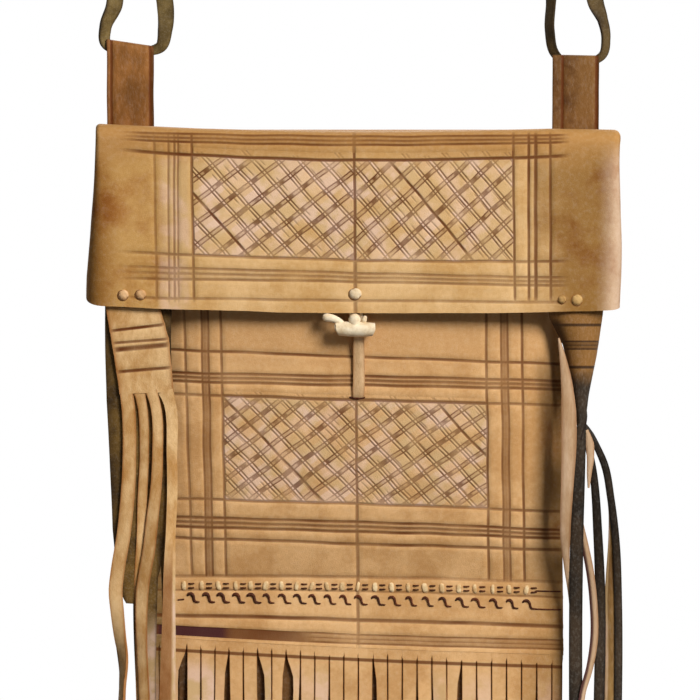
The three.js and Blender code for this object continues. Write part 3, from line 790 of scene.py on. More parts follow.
CURL_STEPS = 12
CURL = 9 * MM
CURL_TAIL = 9 * MM
CURL_SHARE = 0.65
FLAP_LINES_START_PX = (112, 150)
FLAP_LINES_STOP_PX = (572, 556)
UPRIGHTS_START_PX = (131, 136)
UPRIGHTS_STOP_PX = (303, 298)
WORN_PX = ((157, 164), (193, 186), (150, 170))
WORN_SHARE = 0.5

rows, row_press = rule(flap_rulings, FLAP_EDGE, FLAP_TOP, FLAP_GAP_PX)
columns, column_press = rule(flap_uprights, FLAP_LEFT, FLAP_RIGHT, FLAP_GAP_PX)
px, py = crossings(rows[:-1], FLAP_STATIONS, columns, FLAP_LEANS)
rim = flap_top(px[-1])
rounding = np.array(TOP_SHARES)[:, None] * (py[-1] - rim) + rim
py = np.concatenate([py, rounding])
px = np.concatenate([px, np.broadcast_to(px[-1], rounding.shape)])
row_press = np.concatenate([row_press[:-1], 0 * np.array(TOP_SHARES)])

row_reach = smooth(px, *FLAP_LINES_START_PX) * smooth(px, *FLAP_LINES_STOP_PX)
at_centre = np.abs(columns[:, 0] - FLAP_CENTRE[0])[None, :] < CENTRE_WIDE_PX
up_reach = smooth(py, *UPRIGHTS_START_PX) * np.where(at_centre, 1, smooth(py, *UPRIGHTS_STOP_PX))
lines = np.maximum(row_press[:, None] * row_reach, column_press[None, :] * up_reach)
tooling = np.clip(lines * pressure(px, py, 6.2), 0, 1)
bed = np.zeros_like(px)
bed[:len(rows)] = sunk_bed(
    rows, columns, FLAP_FIELD_FOOT, FLAP_FIELD_OVER, FLAP_FIELD_LEFT, FLAP_FIELD_RIGHT
)
from_left, from_right, from_top = WORN_PX
worn = WORN_SHARE * smooth(px, *from_left) * smooth(px, *from_right) * smooth(py, *from_top)
x = x_at(px)
z = z_at(py)
y = flap_y(x, z) + GROOVE_DEEP * tooling * (1 - bed) + BED_DEEP * bed
flap_front = np.stack([x, y, z], axis=2)
print("Flap front:", flap_front.shape[0], "rows and", flap_front.shape[1], "columns")

# %% Fold the flap over and curl its sides
TOP_ROWS = 12
BEND_ROWS = 5
YOKE_ROWS = 14
TOP_SAG = 1.2 * MM
FLAT_FROM = 16 * MM
FLAT_TO = 3 * MM
CURL_FULL = 90 * MM
FLARE_FROM = 60 * MM
FLARE_TO = 108 * MM
TAIL_LEAST = 1.5 * MM
TAIL_FROM = 4 * MM
TAIL_TO = 60 * MM
CORNER = 28 * MM
YOKE_SPREAD = 0.15
CURL_SHADE_SHARE = 0.75
CURL_SHADE_TURN = (0.35, 0.9)
YOKE_LOW_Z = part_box("rear_yoke")[0][2]
top_row = flap_front[-1]


def top_again(y, z):
    """The flap's top row once more, at another depth and height."""
    row = top_row.copy()
    row[:, 1] = y
    row[:, 2] = z
    return row


fold_rows = []
for share in np.linspace(0, 1, TOP_ROWS)[1:]:
    back = top_row[:, 1] + (HINGE_Y - top_row[:, 1]) * share
    level = top_row[:, 2] + (HINGE_Z + FOLD - top_row[:, 2]) * share
    fold_rows.append(top_again(back, level - TOP_SAG * math.sin(math.pi * share)))
for angle in np.linspace(math.pi / 2, 0, BEND_ROWS)[1:]:
    fold_rows.append(top_again(HINGE_Y + FOLD * math.cos(angle), HINGE_Z + FOLD * math.sin(angle)))
for low_z in np.linspace(HINGE_Z, YOKE_LOW_Z, YOKE_ROWS)[1:]:
    fold_rows.append(top_again(HINGE_Y + FOLD, low_z))
flap_all = np.concatenate([flap_front, np.array(fold_rows)])
front_count = len(flap_front)


def on_front_only(marks):
    """Marks of the flap's front, with none on its curls, its fold and the yoke."""
    return np.pad(marks, ((0, len(flap_all) - front_count), (CURL_STEPS, CURL_STEPS)))


def curl(edge, side, least, flare, lift):
    """Columns that carry on past an edge of the flap and turn in round the pouch's side."""
    on_front = np.arange(len(edge)) < front_count
    depth = edge[front_count - 1, 2] - edge[:, 2]
    over = np.where(on_front, np.clip(1 - depth / SHOULDER, 0, 1), 1)
    inward = np.stack([np.sqrt(1 - over**2), -over], axis=1)
    flat = smooth(edge[:, 1], HINGE_Y - FLAT_FROM, HINGE_Y - FLAT_TO) * ~on_front
    fuller = (CURL - least) * smooth(depth, 0, CURL_FULL) + flare * smooth(depth, FLARE_FROM, FLARE_TO)
    radius = least + fuller * on_front
    tail = TAIL_LEAST + CURL_TAIL * smooth(depth, TAIL_FROM, TAIL_TO) * on_front
    rounded = lift * smooth(edge[:, 2] - edge[0, 2], CORNER, 0) * on_front
    made = []
    for share in np.linspace(0, 1, CURL_STEPS + 1)[1:]:
        angle = min(share / CURL_SHARE, 1) * math.pi / 2
        past = max(share - CURL_SHARE, 0) / (1 - CURL_SHARE) * tail
        column = edge.copy()
        column[:, 0] += side * radius * (math.sin(angle) * (1 - flat) + YOKE_SPREAD * share * flat)
        column[:, 1:] += inward * ((radius * (1 - math.cos(angle)) + past) * (1 - flat))[:, None]
        column[:, 2] += rounded * share**2
        made.append(column)
    return made


left_curl = curl(flap_all[:, 0], -1, 2.5 * MM, 2.2 * MM, 12 * MM)
right_curl = curl(flap_all[:, -1], 1, 4 * MM, 0, 5 * MM)
flap_places = np.concatenate(
    [np.stack(left_curl[::-1], axis=1), flap_all, np.stack(right_curl, axis=1)], axis=1
)
turned_in = np.linspace(0, 1, CURL_STEPS + 1)[1:]
# Painted shade: the right curl is darker as it turns in round the pouch's side.
darkening = np.zeros(flap_places.shape[1])
darkening[-CURL_STEPS:] = CURL_SHADE_SHARE * smooth(turned_in, *CURL_SHADE_TURN)
flap_sheet = {
    "place": flap_places,
    "tooling": on_front_only(tooling),
    "cell": on_front_only(worn),
    "edge": darkening,
}
flap = leather("flap_hide_sheet", [flap_sheet], FLAP_HIDE, flap_hide, flesh)
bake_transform(flap)
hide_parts("flap", "rear_yoke")

# %% Lattice on the flap
halves = {
    "left": (FLAP_FIELD_LEFT, FLAP_CENTRE, (48, 37)),
    "right": (FLAP_CENTRE, FLAP_FIELD_RIGHT, (50, 42)),
}
lattice_field(
    "flap_lattice_", "flap", "flap", halves, (FLAP_FIELD_FOOT, FLAP_FIELD_TOP, FLAP_FIELD_OVER),
    FLAP_STATIONS, FLAP_LEANS, flap_y, flap_hide, seed=4.0, size=1.0, rim=0.9
)

# %% [markdown]
# ## Strips and thongs
#
# Fringe, tassel strands, straps and stitches are all narrow strips. A ribbon helper lays a grid along a
# smooth path through a few chosen points, with its own width and twist at each. A tube helper does the
# same with a round section, for rolled thongs, and rounds the ends off.

# %% Ribbon and tube helpers
FACING = np.array([0.0, -1.0, 0.0])


def smooth_path(points, count):
    """Places along a smooth curve through the points, with how far along they and the points are."""
    points = np.array(points, float)
    knots = np.concatenate([[0], np.cumsum(np.linalg.norm(np.diff(points, axis=0), axis=1))])
    slopes = np.gradient(points, knots, axis=0)
    reach = np.linspace(0, knots[-1], count)
    index = np.clip(np.searchsorted(knots, reach, side="right") - 1, 0, len(points) - 2)
    span = (knots[index + 1] - knots[index])[:, None]
    t = (reach - knots[index])[:, None] / span
    start = (1 + 2 * t) * (1 - t) ** 2 * points[index] + t * (1 - t) ** 2 * span * slopes[index]
    end = t**2 * (3 - 2 * t) * points[index + 1] - t**2 * (1 - t) * span * slopes[index + 1]
    return start + end, reach, knots


def path_sides(centre):
    """Which way is across and which way is out, along a path."""
    ahead = unit(np.gradient(centre, axis=0))
    side = unit(np.cross(FACING, ahead))
    return side, np.cross(ahead, side)


def ribbon(points, widths, turns=0.0, count=48, across=5, cup=0.0):
    """A strip of hide along a path. Turns are degrees about its own length."""
    centre, reach, knots = smooth_path(points, count)
    width = np.interp(reach, knots, np.broadcast_to(widths, len(knots)))
    turn = np.radians(np.interp(reach, knots, np.broadcast_to(turns, len(knots))))[:, None]
    side, out = path_sides(centre)
    broad = side * np.cos(turn) + out * np.sin(turn)
    face = out * np.cos(turn) - side * np.sin(turn)
    step = np.linspace(1, -1, across)
    place = centre[:, None] + broad[:, None] * (width[:, None] / 2 * step)[..., None]
    place = place + face[:, None] * (cup * (1 - step**2))[None, :, None]
    return {"place": place, "edge": np.abs(step) ** 5}


def tube(points, radii, count=40, around=12):
    """A round thong along a path, with domed ends."""
    centre, reach, knots = smooth_path(points, count)
    radius = np.interp(reach, knots, np.broadcast_to(radii, len(knots)))
    end = np.clip(np.minimum(reach, reach[-1] - reach) / radius, 0, 1)
    radius = radius * np.sqrt(1 - (1 - end) ** 2)
    side, out = path_sides(centre)
    angle = np.linspace(0, 2 * math.pi, around + 1)
    ring = side[:, None] * np.cos(angle)[None, :, None] + out[:, None] * np.sin(angle)[None, :, None]
    return {"place": centre[:, None] + ring * radius[:, None, None]}


def close_up(piece):
    """Joins the seam and the poles of wrapped grids, and turns every face outwards."""
    shape = bmesh.new()
    shape.from_mesh(piece.data)
    bmesh.ops.remove_doubles(shape, verts=shape.verts, dist=0.003 * MM)
    bmesh.ops.recalc_face_normals(shape, faces=shape.faces)
    for edge in shape.edges:
        edge.smooth = True
    shape.to_mesh(piece.data)
    shape.free()
    return piece


def spots(points, depth=0.0):
    """Picture points with depths in millimetres, as places in metres."""
    return [(x_at(px), (depth + back) * MM, z_at(py)) for px, py, back in points]


def strand(route, depth=0.0, **more):
    """A ribbon from rows of picture point, depth in millimetres, width in picture points and turn."""
    px, py, back, widths, turns = np.array(route, float).T
    return ribbon(spots(zip(px, py, back), depth), widths * PIXEL, turns, **more)


def rolled(route, **more):
    """A tube from rows of picture point, depth in millimetres and radius in millimetres."""
    px, py, depth, radii = np.array(route, float).T
    return tube(spots(zip(px, py, depth)), radii * MM, **more)


# %% [markdown]
# ## The fringe
#
# Below the lacing the front and the back panel are both cut into strips with a knife. Each cut starts a
# little above or below the ruled line, so the strips begin above it, touching, and part at their own
# slit. They swing, turn and end unevenly. The strips behind show dark through the gaps: their inner side
# is painted in shade.

# %% Cut the fringe
CUTS = 30
FIRST_CUT_PX = 144.5
BACK_CUT_PX = 137.5
CUT_PITCH_PX = 13.9
CUT_WIDEN_PX = 0.024
TUCK_PX = 3.0
RULED_PX = 12.0
LONGER_THAN_ANY = 1e9
FRINGE_DROPS = np.array([
    -TUCK_PX, 0, 4, 8, 9.8, 10.8, RULED_PX, 13.2, 14.2, 16, 22, 32, 46, 62, 80,
    100, 120, 140, 160, 180, 200, LONGER_THAN_ANY,
])
FRINGE_HIDE = 1.6 * MM
LEAST_STRIP_PX = 3
SLIT_LEAST_PX = 6
SLIT_SPREAD_PX = 9
LOOSE_PX = 90
GAP_PX = 30
TURN_PX = 70
TURN_MOST = 22
SWING_PX = 9
SWING_AT_PX = 200
FORWARD_MM = 4
ENDS_SHORT_PX = 3
ENDS_UNEVEN_PX = 5
KNIFE_SHARE = 0.09
SHRUNK_SHARE = 0.04
SHRUNK_SPREAD = 0.08
LEVEL_PX = (40, 20)
OVERLAPS_FROM = 1.05
UNDER_MM = 0.2
OVERLAP_MM = 0.8
RULED_HALF_PX = 1.5
RULED_STRENGTH = 0.84
FADED_MOST = 0.9
FADED_BY_PX = 40
STRIP_SIDES = np.array([1.0, 0.86, 0.4, 0.0, -0.4, -0.86, -1.0])
WIDE_GAPS = {2: -0.6, 5: -0.25, 8: 0.45, 9: -0.2, 10: 0.5, 16: 0.2, 21: -0.25}
fringe_bow = np.polyfit(FRONT_STATIONS, np.array(FRONT_FOOT), 2)


def fringe(left_px, right_px, first_px, depth, way, seed, gaps, cover):
    """Strips hanging in a row. Way is 1 for grain side to the front and -1 for the back."""
    counts = np.arange(CUTS)
    cuts = np.clip(first_px + CUT_PITCH_PX * counts + CUT_WIDEN_PX * counts**2, left_px, right_px)
    strips = []
    for count, (start, end) in enumerate(zip(cuts[:-1], cuts[1:])):
        pitch = end - start
        if pitch < LEAST_STRIP_PX:
            continue
        luck = [noise.noise((count * 1.7, seed, k * 3.1)) for k in range(6)]
        middle = (start + end) / 2
        top = np.polyval(fringe_bow, middle)
        full = py_at(FRINGE_END_Z) - ENDS_SHORT_PX + ENDS_UNEVEN_PX * luck[0] - top
        drop = np.minimum(FRINGE_DROPS, full)
        slit = SLIT_LEAST_PX + SLIT_SPREAD_PX * abs(luck[1])
        loose = smooth(drop, slit, slit + LOOSE_PX)
        lost = gaps.get(count, 0.0) * smooth(drop, slit, slit + GAP_PX)
        shrunk = (SHRUNK_SHARE + SHRUNK_SPREAD * luck[2]) * loose
        worn_off = KNIFE_SHARE * (drop > slit) + shrunk + np.abs(lost)
        wide = pitch * (cover - worn_off)
        turn = np.radians(TURN_MOST * luck[3] * smooth(drop, slit, slit + TURN_PX))
        swing = SWING_PX * luck[4] * loose * drop / SWING_AT_PX
        forward = FORWARD_MM * abs(luck[5]) * loose + np.abs(np.sin(turn)) * pitch * PIXEL / MM / 2
        across = STRIP_SIDES[None, :] * way * wide[:, None] / 2
        px = middle + (swing + pitch * lost / 2)[:, None] + across * np.cos(turn)[:, None]
        slope = np.polyval(fringe_bow, px) - top
        py = top + drop[:, None] + slope * smooth(drop, *LEVEL_PX)[:, None]
        under = UNDER_MM + (cover > OVERLAPS_FROM) * OVERLAP_MM * (count % 2)
        y = depth + way * MM * (under - forward[:, None]) - across * np.sin(turn)[:, None] * PIXEL * way
        ruled = RULED_STRENGTH * (np.abs(drop - RULED_PX) < RULED_HALF_PX)[:, None]
        # Painted shade: the strip's sides are darker below its slit, as shade in the slits between strips.
        edge = 0.8 * (np.abs(STRIP_SIDES) > 0.9)[None, :] * (drop > slit)[:, None]
        faded = (way > 0) * min(1.5 * max(luck[0] + 0.22, 0), FADED_MOST)
        fade = faded * smooth(drop, RULED_PX, FADED_BY_PX)[:, None]
        strips.append(sheet_of(x_at(px), y, z_at(py), tooling=ruled, edge=edge, cell=fade))
    return strips


front_strips = fringe(FRONT_LEFT[1], FRONT_RIGHT[1], FIRST_CUT_PX, FLAT_Y, 1, 0.4, WIDE_GAPS, 1.01)
front_fringe = leather("front_fringe", front_strips, FRINGE_HIDE, front_hide, flesh)
settle(front_fringe, "pouch", "front_panel")

# %% [markdown]
# ## The back
#
# The back lies against the wearer, so it is flat and plain: one sheet with a single ruled border, its own
# fringe, and the back of the lacing. Its grain side faces away from the front, so its columns run the
# other way.

# %% Back panel and its fringe
back_low, back_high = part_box("back_panel")
BACK_Y = back_high[1]
BACK_LEFT_PX = px_at(back_low[0])
BACK_RIGHT_PX = px_at(back_high[0])
BACK_INSET_PX = 12.0
BACK_GAP_PX = 8.0
BACK_PRESS = 0.6
BACK_WAVE = 0.2 * MM
BACK_WAVE_SIZE = 50 * MM
back_rulings = [
    ((606.0,) * 3, 1.4, 0.7),
    ((570.0,) * 3, 1.4, 0.7),
    ((350.0,) * 3, 1.4, 0.6),
]
back_uprights = [
    ((BACK_RIGHT_PX - BACK_INSET_PX,) * 2, 1.4, 0.7),
    ((BACK_LEFT_PX + BACK_INSET_PX,) * 2, 1.4, 0.7),
]
rows, row_press = rule(back_rulings, FRONT_FOOT, FRONT_MOUTH, BACK_GAP_PX)
columns, column_press = rule(back_uprights, (BACK_RIGHT_PX,) * 2, (BACK_LEFT_PX,) * 2, BACK_GAP_PX)
px, py = crossings(rows, FRONT_STATIONS, columns, FRONT_LEANS)
tooling = np.maximum(row_press[:, None], column_press[None, :])
x = np.clip(x_at(px), back_low[0], back_high[0])
z = z_at(py)
waves = BACK_WAVE * (1 + ripple(x, z, BACK_WAVE_SIZE, 8.5))
y = BACK_Y - GROOVE_DEEP * BACK_PRESS * tooling - waves
back = leather("back_hide_sheet", [sheet_of(x, y, z, tooling=tooling)], HIDE, back_hide, flesh)
settle(back, "pouch", "back_panel")
back_strips = fringe(BACK_LEFT_PX - 3, BACK_RIGHT_PX + 5, BACK_CUT_PX, BACK_Y, -1, 5.4, {}, 1.22)
# The inner side faces the front strips and takes the fringe lining's painted shade.
back_fringe = leather("back_fringe", back_strips, FRINGE_HIDE, back_hide, fringe_shade)
settle(back_fringe, "pouch", "back_panel")

# %% [markdown]
# ## The lacing
#
# Two thongs close the pouch above the fringe. A pale one makes a row of square stitches, and a dark one
# hooks down from stitch to stitch, so that the row below them looks like a running wave. On the back the
# pale one comes through as plain slanted stitches.

# %% Stitches and hooks
STITCHES = 22
FIRST_HOOK_PX = 191.5
STITCH_PITCH_PX = 15.26
WIDER_FROM = 11
WIDER_PX = 1.64
STITCH_ROW = np.polyfit(FRONT_STATIONS, (586.2, 587.4, 591.5), 2)
HOOK = ((-4.9, 9.4), (-3.4, 7.4), (-0.8, 7.0), (1.2, 9.0), (2.0, 12.4), (3.0, 14.6), (5.2, 15.2), (8.2, 15.2))
HOOK_RADII = np.array([0.4, 0.72, 0.85, 0.72, 0.62, 0.6, 0.5, 0.35]) * MM
HOOK_SINK_PX = 2.6
STITCH_WIDE = np.array([2.2, 4.2, 4.8, 4.2, 2.2]) * PIXEL
STITCH_HIDE = 1.0 * MM
STITCH_ARCH = ((1, -5.0, 0.7), (1, -3.6, -0.3), (0, 0, -0.6), (-1, 3.6, -0.3), (-1, 5.0, 0.7))
BAR_RISES_PX = (-2.0, 2.2)
BAR_REACH = ((4.2, 0.2), (5.4, -0.5), (9.0, -0.5), (10.6, 0.2))
BAR_RADIUS = 0.42 * MM
REAR_STITCH = ((3, 9, -0.4), (1, 5, 1.0), (-2, -3, 1.0), (-4, -7, -0.4))
REAR_WIDE = 2.6 * MM
END_STROKES = (
    ((177, 600.6, 0), (180.5, 600.3, 0), (184, 599.9, 0)),
    ((534, 609.8, 0), (548, 610.2, 0), (562.5, 610.4, 0)),
    ((535, 591.6, 0), (548, 592, 0), (562.5, 592.2, 0)),
)
END_STROKE_DEPTH = -5.5
END_STROKE_RADIUS = 0.45 * MM
HEAVY_HOOKS = 5
HOOK_WANDER_PX = 1.2
HOOK_LOWER_PX = 1.2
HOOK_LIFT_MM = 0.25
TILT_PX = 1.8
LEAD_PX = 8.0
LEAD_LESS_PX = 2.4
LEAD_LEAST_PX = 1.5
HEAVIER = 1.25


def front_mm(px, py):
    """Depth of the front at a picture point, in millimetres."""
    return float(front_y(x_at(px), z_at(py))) / MM


pads = []
hooks = []
bars = []
rear_stitches = []
for count in range(STITCHES):
    luck = [noise.noise((count * 2.3, 9.1, k * 1.9)) for k in range(4)]
    wider = WIDER_PX * max(count - WIDER_FROM, 0)
    hook_px = FIRST_HOOK_PX + STITCH_PITCH_PX * count + wider + HOOK_WANDER_PX * luck[0]
    middle = hook_px - max(LEAD_PX - LEAD_LESS_PX * count, LEAD_LEAST_PX)
    height = np.polyval(STITCH_ROW, middle)
    tilt = TILT_PX * luck[1]
    face = front_mm(middle, height)
    arch = [(middle + a * tilt, height + b, face + c) for a, b, c in STITCH_ARCH]
    stitch_wide = STITCH_WIDE * (1 + 0.4 * luck[2])
    pads.append(ribbon(spots(arch), stitch_wide, count=12, across=7, cup=0.3 * MM))
    bend = 1.0 + 0.25 * luck[3]
    hook_top = height + HOOK_LOWER_PX + HOOK_SINK_PX * count / STITCHES
    hook = [(hook_px + a * bend, hook_top + b, face - HOOK_LIFT_MM) for a, b in HOOK]
    heavier = HEAVIER if count < HEAVY_HOOKS else 1.0
    hooks.append(tube(spots(hook), HOOK_RADII * heavier, count=26, around=8))
    for rise in BAR_RISES_PX:
        bar = [(middle + a, height + rise, face + c) for a, c in BAR_REACH]
        bars.append(tube(spots(bar), BAR_RADIUS, count=10, around=6))
    rear = [(middle + a, height + b, BACK_Y / MM + c) for a, b, c in REAR_STITCH]
    rear_stitches.append(ribbon(spots(rear), REAR_WIDE, 180.0, count=12, across=5, cup=0.3 * MM))
for end_stroke in END_STROKES:
    bars.append(tube(spots(end_stroke, END_STROKE_DEPTH), END_STROKE_RADIUS, count=16, around=6))
pale_stitches = leather("pale_lacing", pads + rear_stitches, STITCH_HIDE, lace_hide)
settle(pale_stitches, "pouch", "bottom_lacing")
dark_stitches = close_up(leather("dark_lacing", hooks + bars, 0, dark_thong))
settle(dark_stitches, "pouch", "bottom_lacing")

# %% [markdown]
# ## The straps
#
# At each shoulder a wide tab, folded double, is laced to the yoke, and a narrow strap runs through the
# fold. The fold is one sheet that goes up the front, over the strap and down the back, pressed flat below
# it. The strap twists as it leaves the fold, so that its pale flesh side shows on one arm of the loop.

# %% Strap tabs
TAB_HIDE = 1.5 * MM
TAB_FRONT_Y = -3.1 * MM
TAB_FLAT_Y = 0.3 * MM
TAB_ROWS = 30
TAB_BEND_ROWS = 9
TAB_GAP_PX = 4.0
TAB_LEAN_PX = 1.4
TAB_GROOVE = 0.45 * MM
TAB_LINE = (1.3, 0.9)
TAB_PRESSED = (12 * MM, 24 * MM)
TAB_LEAN_SIZE = 30 * MM
TAB_RIDGE_PX = 2.0
TAB_WAVES = ((0.35, 18, 2.5),)


def strap_tab(name, node, left_px, right_px, top_left, top_right, grooves):
    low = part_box(node)[0]
    lines = [((at, at), *TAB_LINE) for at in grooves]
    columns, pressed = rule(lines, (left_px, left_px), (right_px, right_px), TAB_GAP_PX)
    px = columns[:, 0]
    top = z_at(top_left + (top_right - top_left) * (px - left_px) / (right_px - left_px))
    half = -TAB_FRONT_Y
    rows = []
    for share in np.linspace(0, 1, TAB_ROWS):
        rows.append((np.full_like(px, TAB_FRONT_Y), low[2] + (top - half - low[2]) * share))
    for angle in np.linspace(math.pi, 0, TAB_BEND_ROWS)[1:-1]:
        rows.append((half * math.cos(angle) + 0 * px, top - half + half * math.sin(angle)))
    for share in np.linspace(0, 1, TAB_ROWS):
        z = top - half + (low[2] - top + half) * share
        under = smooth(top - z, *TAB_PRESSED)
        rows.append((half + (TAB_FLAT_Y - half) * under, z))
    y = np.array([row[0] for row in rows])
    z = np.array([row[1] for row in rows])
    lean = TAB_LEAN_PX * ripple(np.zeros_like(z), z, TAB_LEAN_SIZE, left_px)
    x = x_at(px[None, :] + lean)
    sink = np.where(y < 0, 1, -1) * TAB_GROOVE * pressed[None, :]
    waves = dents(x, z, TAB_WAVES)
    ridge = np.maximum(stroke(px - left_px, 0, TAB_RIDGE_PX), stroke(px - right_px, 0, TAB_RIDGE_PX))
    fold = sheet_of(x, y + sink + waves * (y < 0), z, tooling=pressed, edge=ridge)
    settle(leather(name, [fold], TAB_HIDE, tab_hide, flesh), "pouch", node)


strap_tab("left_tab_fold", "left_strap_tab", 106.0, 153.0, 38.0, 45.0, (110.5, 149.5))
strap_tab("right_tab_fold", "right_strap_tab", 553.0, 599.5, 53.5, 54.5, (563.0, 597.0))

# %% Strap loops
LOOP_HIDE = 1.5 * MM
LEFT_LOOP = (
    (130, 49, 0, 8, 0), (148, 50, 0, 9, 0), (160, 46, -0.5, 12, 20), (165, 28, -1, 15.5, 25),
    (165, 8, 0, 17, 0), (160, -20, 0, 17, 0), (150, -46, 0, 16.5, 0), (135, -62, 0, 16, 0),
    (121, -50, 0, 16, 0), (115, -22, 0, 17, -15), (114, 4, 0, 18, -30), (105.5, 26, -1, 15, -45),
    (105.5, 42, -0.5, 12, -35), (116, 49, 0, 9, -10), (130, 49.2, 0.4, 8, 0),
)
RIGHT_LOOP = (
    (576, 60, 0, 8, 0), (594, 60, 0, 8, 0), (604, 54, -0.5, 9, 30), (607.5, 38, -1, 11, 45),
    (604, 18, 0, 13, 42), (597, 2, 0, 16.5, 14), (591, -26, 0, 16.5, 0), (584, -50, 0, 16, 0),
    (574, -62, 0, 16, 0), (561, -50, 0, 16, 10), (553, -24, 0, 15, 40), (550.5, 4, 0, 14, 56),
    (549.5, 30, -1, 13, 52), (556, 54, -0.5, 10, 35), (564, 60, 0, 8, 0), (576, 60.2, 0.4, 8, 0),
)
for side, route in (("left", LEFT_LOOP), ("right", RIGHT_LOOP)):
    strip = strand(route, count=150, across=7, cup=0.25 * MM)
    loop = leather(side + "_loop_strap", [strip], LOOP_HIDE, strap_hide, strap_flesh)
    settle(loop, "pouch", side + "_strap_loop")

# %% Laces that hold the tabs
LACE_REACH = ((0.15, -0.6), (0.3, 0.6), (0.7, 0.6), (0.9, -0.6))
LACE_WIDE = 3.0 * MM
LACE_HIDE = 1.0 * MM
for side in ("left", "right"):
    low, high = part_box(side + "_tab_lace")
    centre_x = (low[0] + high[0]) / 2
    half = (high[0] - low[0]) / 2
    height = (low[2] + high[2]) / 2
    bars = []
    for way, turn in ((-1, 0.0), (1, 180.0)):
        points = []
        for share, off in LACE_REACH:
            points.append((centre_x + way * half * share, TAB_FLAT_Y + off * MM, height + way * share * MM))
        bars.append(ribbon(points, LACE_WIDE, turn, count=14, across=5, cup=0.3 * MM))
    lace = leather(side + "_tab_thong", bars, LACE_HIDE, thong)
    settle(lace, "pouch", side + "_tab_lace")

# %% [markdown]
# ## The closure
#
# A strip comes out of a slit in the front and carries a rolled bar of pale leather across its end. A thong
# loop hangs from a knot in the flap and slips over the bar. The roll is a real roll: a grid wound round
# and round itself, so that its ends show the turns.

# %% Closing strip and its slit
STRIP_HIDE = 1.6 * MM
STRIP_ROUTE = (
    (358.4, 332, -6.2, 10.5), (358.8, 345, -4.0, 11), (359, 365, -2.0, 11.5),
    (358.8, 388, -1.6, 12), (358.4, 396.5, -0.6, 11.5), (358.4, 399.5, 0.6, 9),
)
SLIT_ROUTE = ((348.7, 397.1, 0.5), (357.2, 398.1, 0.95), (365.7, 397.3, 0.5))
SLIT_PX = (357.2, 397.5)
SLIT_SINK = 0.25
strip_rows = [(px, py, front_mm(px, py) + off, width, 0) for px, py, off, width in STRIP_ROUTE]
strip = strand(strip_rows, count=40, across=7, cup=0.3 * MM)
closing = leather("closing_thong", [strip], STRIP_HIDE, strip_hide)
settle(closing, "pouch", "closing_strip")
# Painted shade: the slit is a dark tube in the dark thong's finish, standing for the shade inside the cut.
slit_rows = [(px, py, front_mm(*SLIT_PX) + SLIT_SINK, radius) for px, py, radius in SLIT_ROUTE]
slit = close_up(leather("closing_slit", [rolled(slit_rows, count=24)], 0, dark_thong))
settle(slit, "pouch", "closing_strip")

# %% Rolled toggle
TOGGLE_Y = -33.9 * MM
TOGGLE_LEFT_PX = 335.0
TOGGLE_RIGHT_PX = 374.5
TOGGLE_PY = 329.7
TOGGLE_TUCK_PX = 3.2
ROLL_TURNS = 2.2
ROLL_OUT = 4.7 * MM
ROLL_IN = 1.9 * MM
ROLL_START = 1.1
ROLL_HIDE = 1.1 * MM
ROLL_STEPS = 60
ROLL_ROWS = 22
ROLL_SLIP = 0.5 * MM
TAIL = (
    (346, 328, -33.2, 1.3), (340, 322, -34.4, 1.8), (334, 319, -35.0, 2.2), (327.5, 317.6, -35.0, 2.4),
    (322, 317.4, -34.8, 2.0),
)
NECK = (
    (354.6, 330, -33.0, 2.4), (354.5, 323, -34.2, 3.4), (354.8, 318.5, -34.0, 3.6),
    (355.0, 314.5, -32.6, 2.9),
)
SPUR = ((362.5, 326, -33.6, 1.3), (364.2, 320, -34.6, 1.5), (365.4, 315.5, -34.4, 1.1))
angle = np.linspace(0, ROLL_TURNS * 2 * math.pi, ROLL_STEPS)
spiral = ROLL_OUT - (ROLL_OUT - ROLL_IN) * angle / angle[-1]
roll_rows = []
for share in np.linspace(0, 1, ROLL_ROWS):
    along = TOGGLE_LEFT_PX + (TOGGLE_RIGHT_PX - TOGGLE_LEFT_PX) * share
    squeeze = 0.9 + 0.1 * math.sin(math.pi * share) + 0.03 * noise.noise((share * 6, 2.0, 0.0))
    start = angle + ROLL_START
    tuck = TOGGLE_TUCK_PX * (1 - 2 * share) * np.clip(-np.sin(start), 0, 1)
    roll_rows.append(np.stack([
        x_at(along + tuck) + ROLL_SLIP * np.sin(angle * 0.7),
        TOGGLE_Y + squeeze * spiral * np.cos(start),
        z_at(TOGGLE_PY) + squeeze * spiral * np.sin(start) + ROLL_SLIP * (0.5 - share),
    ], axis=1))
roll = leather("toggle_bar", [{"place": np.array(roll_rows)}], ROLL_HIDE, thong)
settle(roll, "pouch", "toggle_roll")
toggle_thong = close_up(leather("toggle_tail", [rolled(part) for part in (TAIL, NECK, SPUR)], 0, thong))
settle(toggle_thong, "pouch", "toggle_roll")

# %% Knots and the closing loop
KNOT_RISE = 1.9 * MM
CREASE_AT = 0.25
CREASE_WIDE = 0.16
CREASE_DEEP = 0.14
# Painted shadow: the dark ring round each knot is set a little to the lower left.
HOLE_SHADOW_PX = (-0.7, -0.6)
HOLE_SINK = 0.2 * MM
HOLE_RADIUS = 0.34 * MM


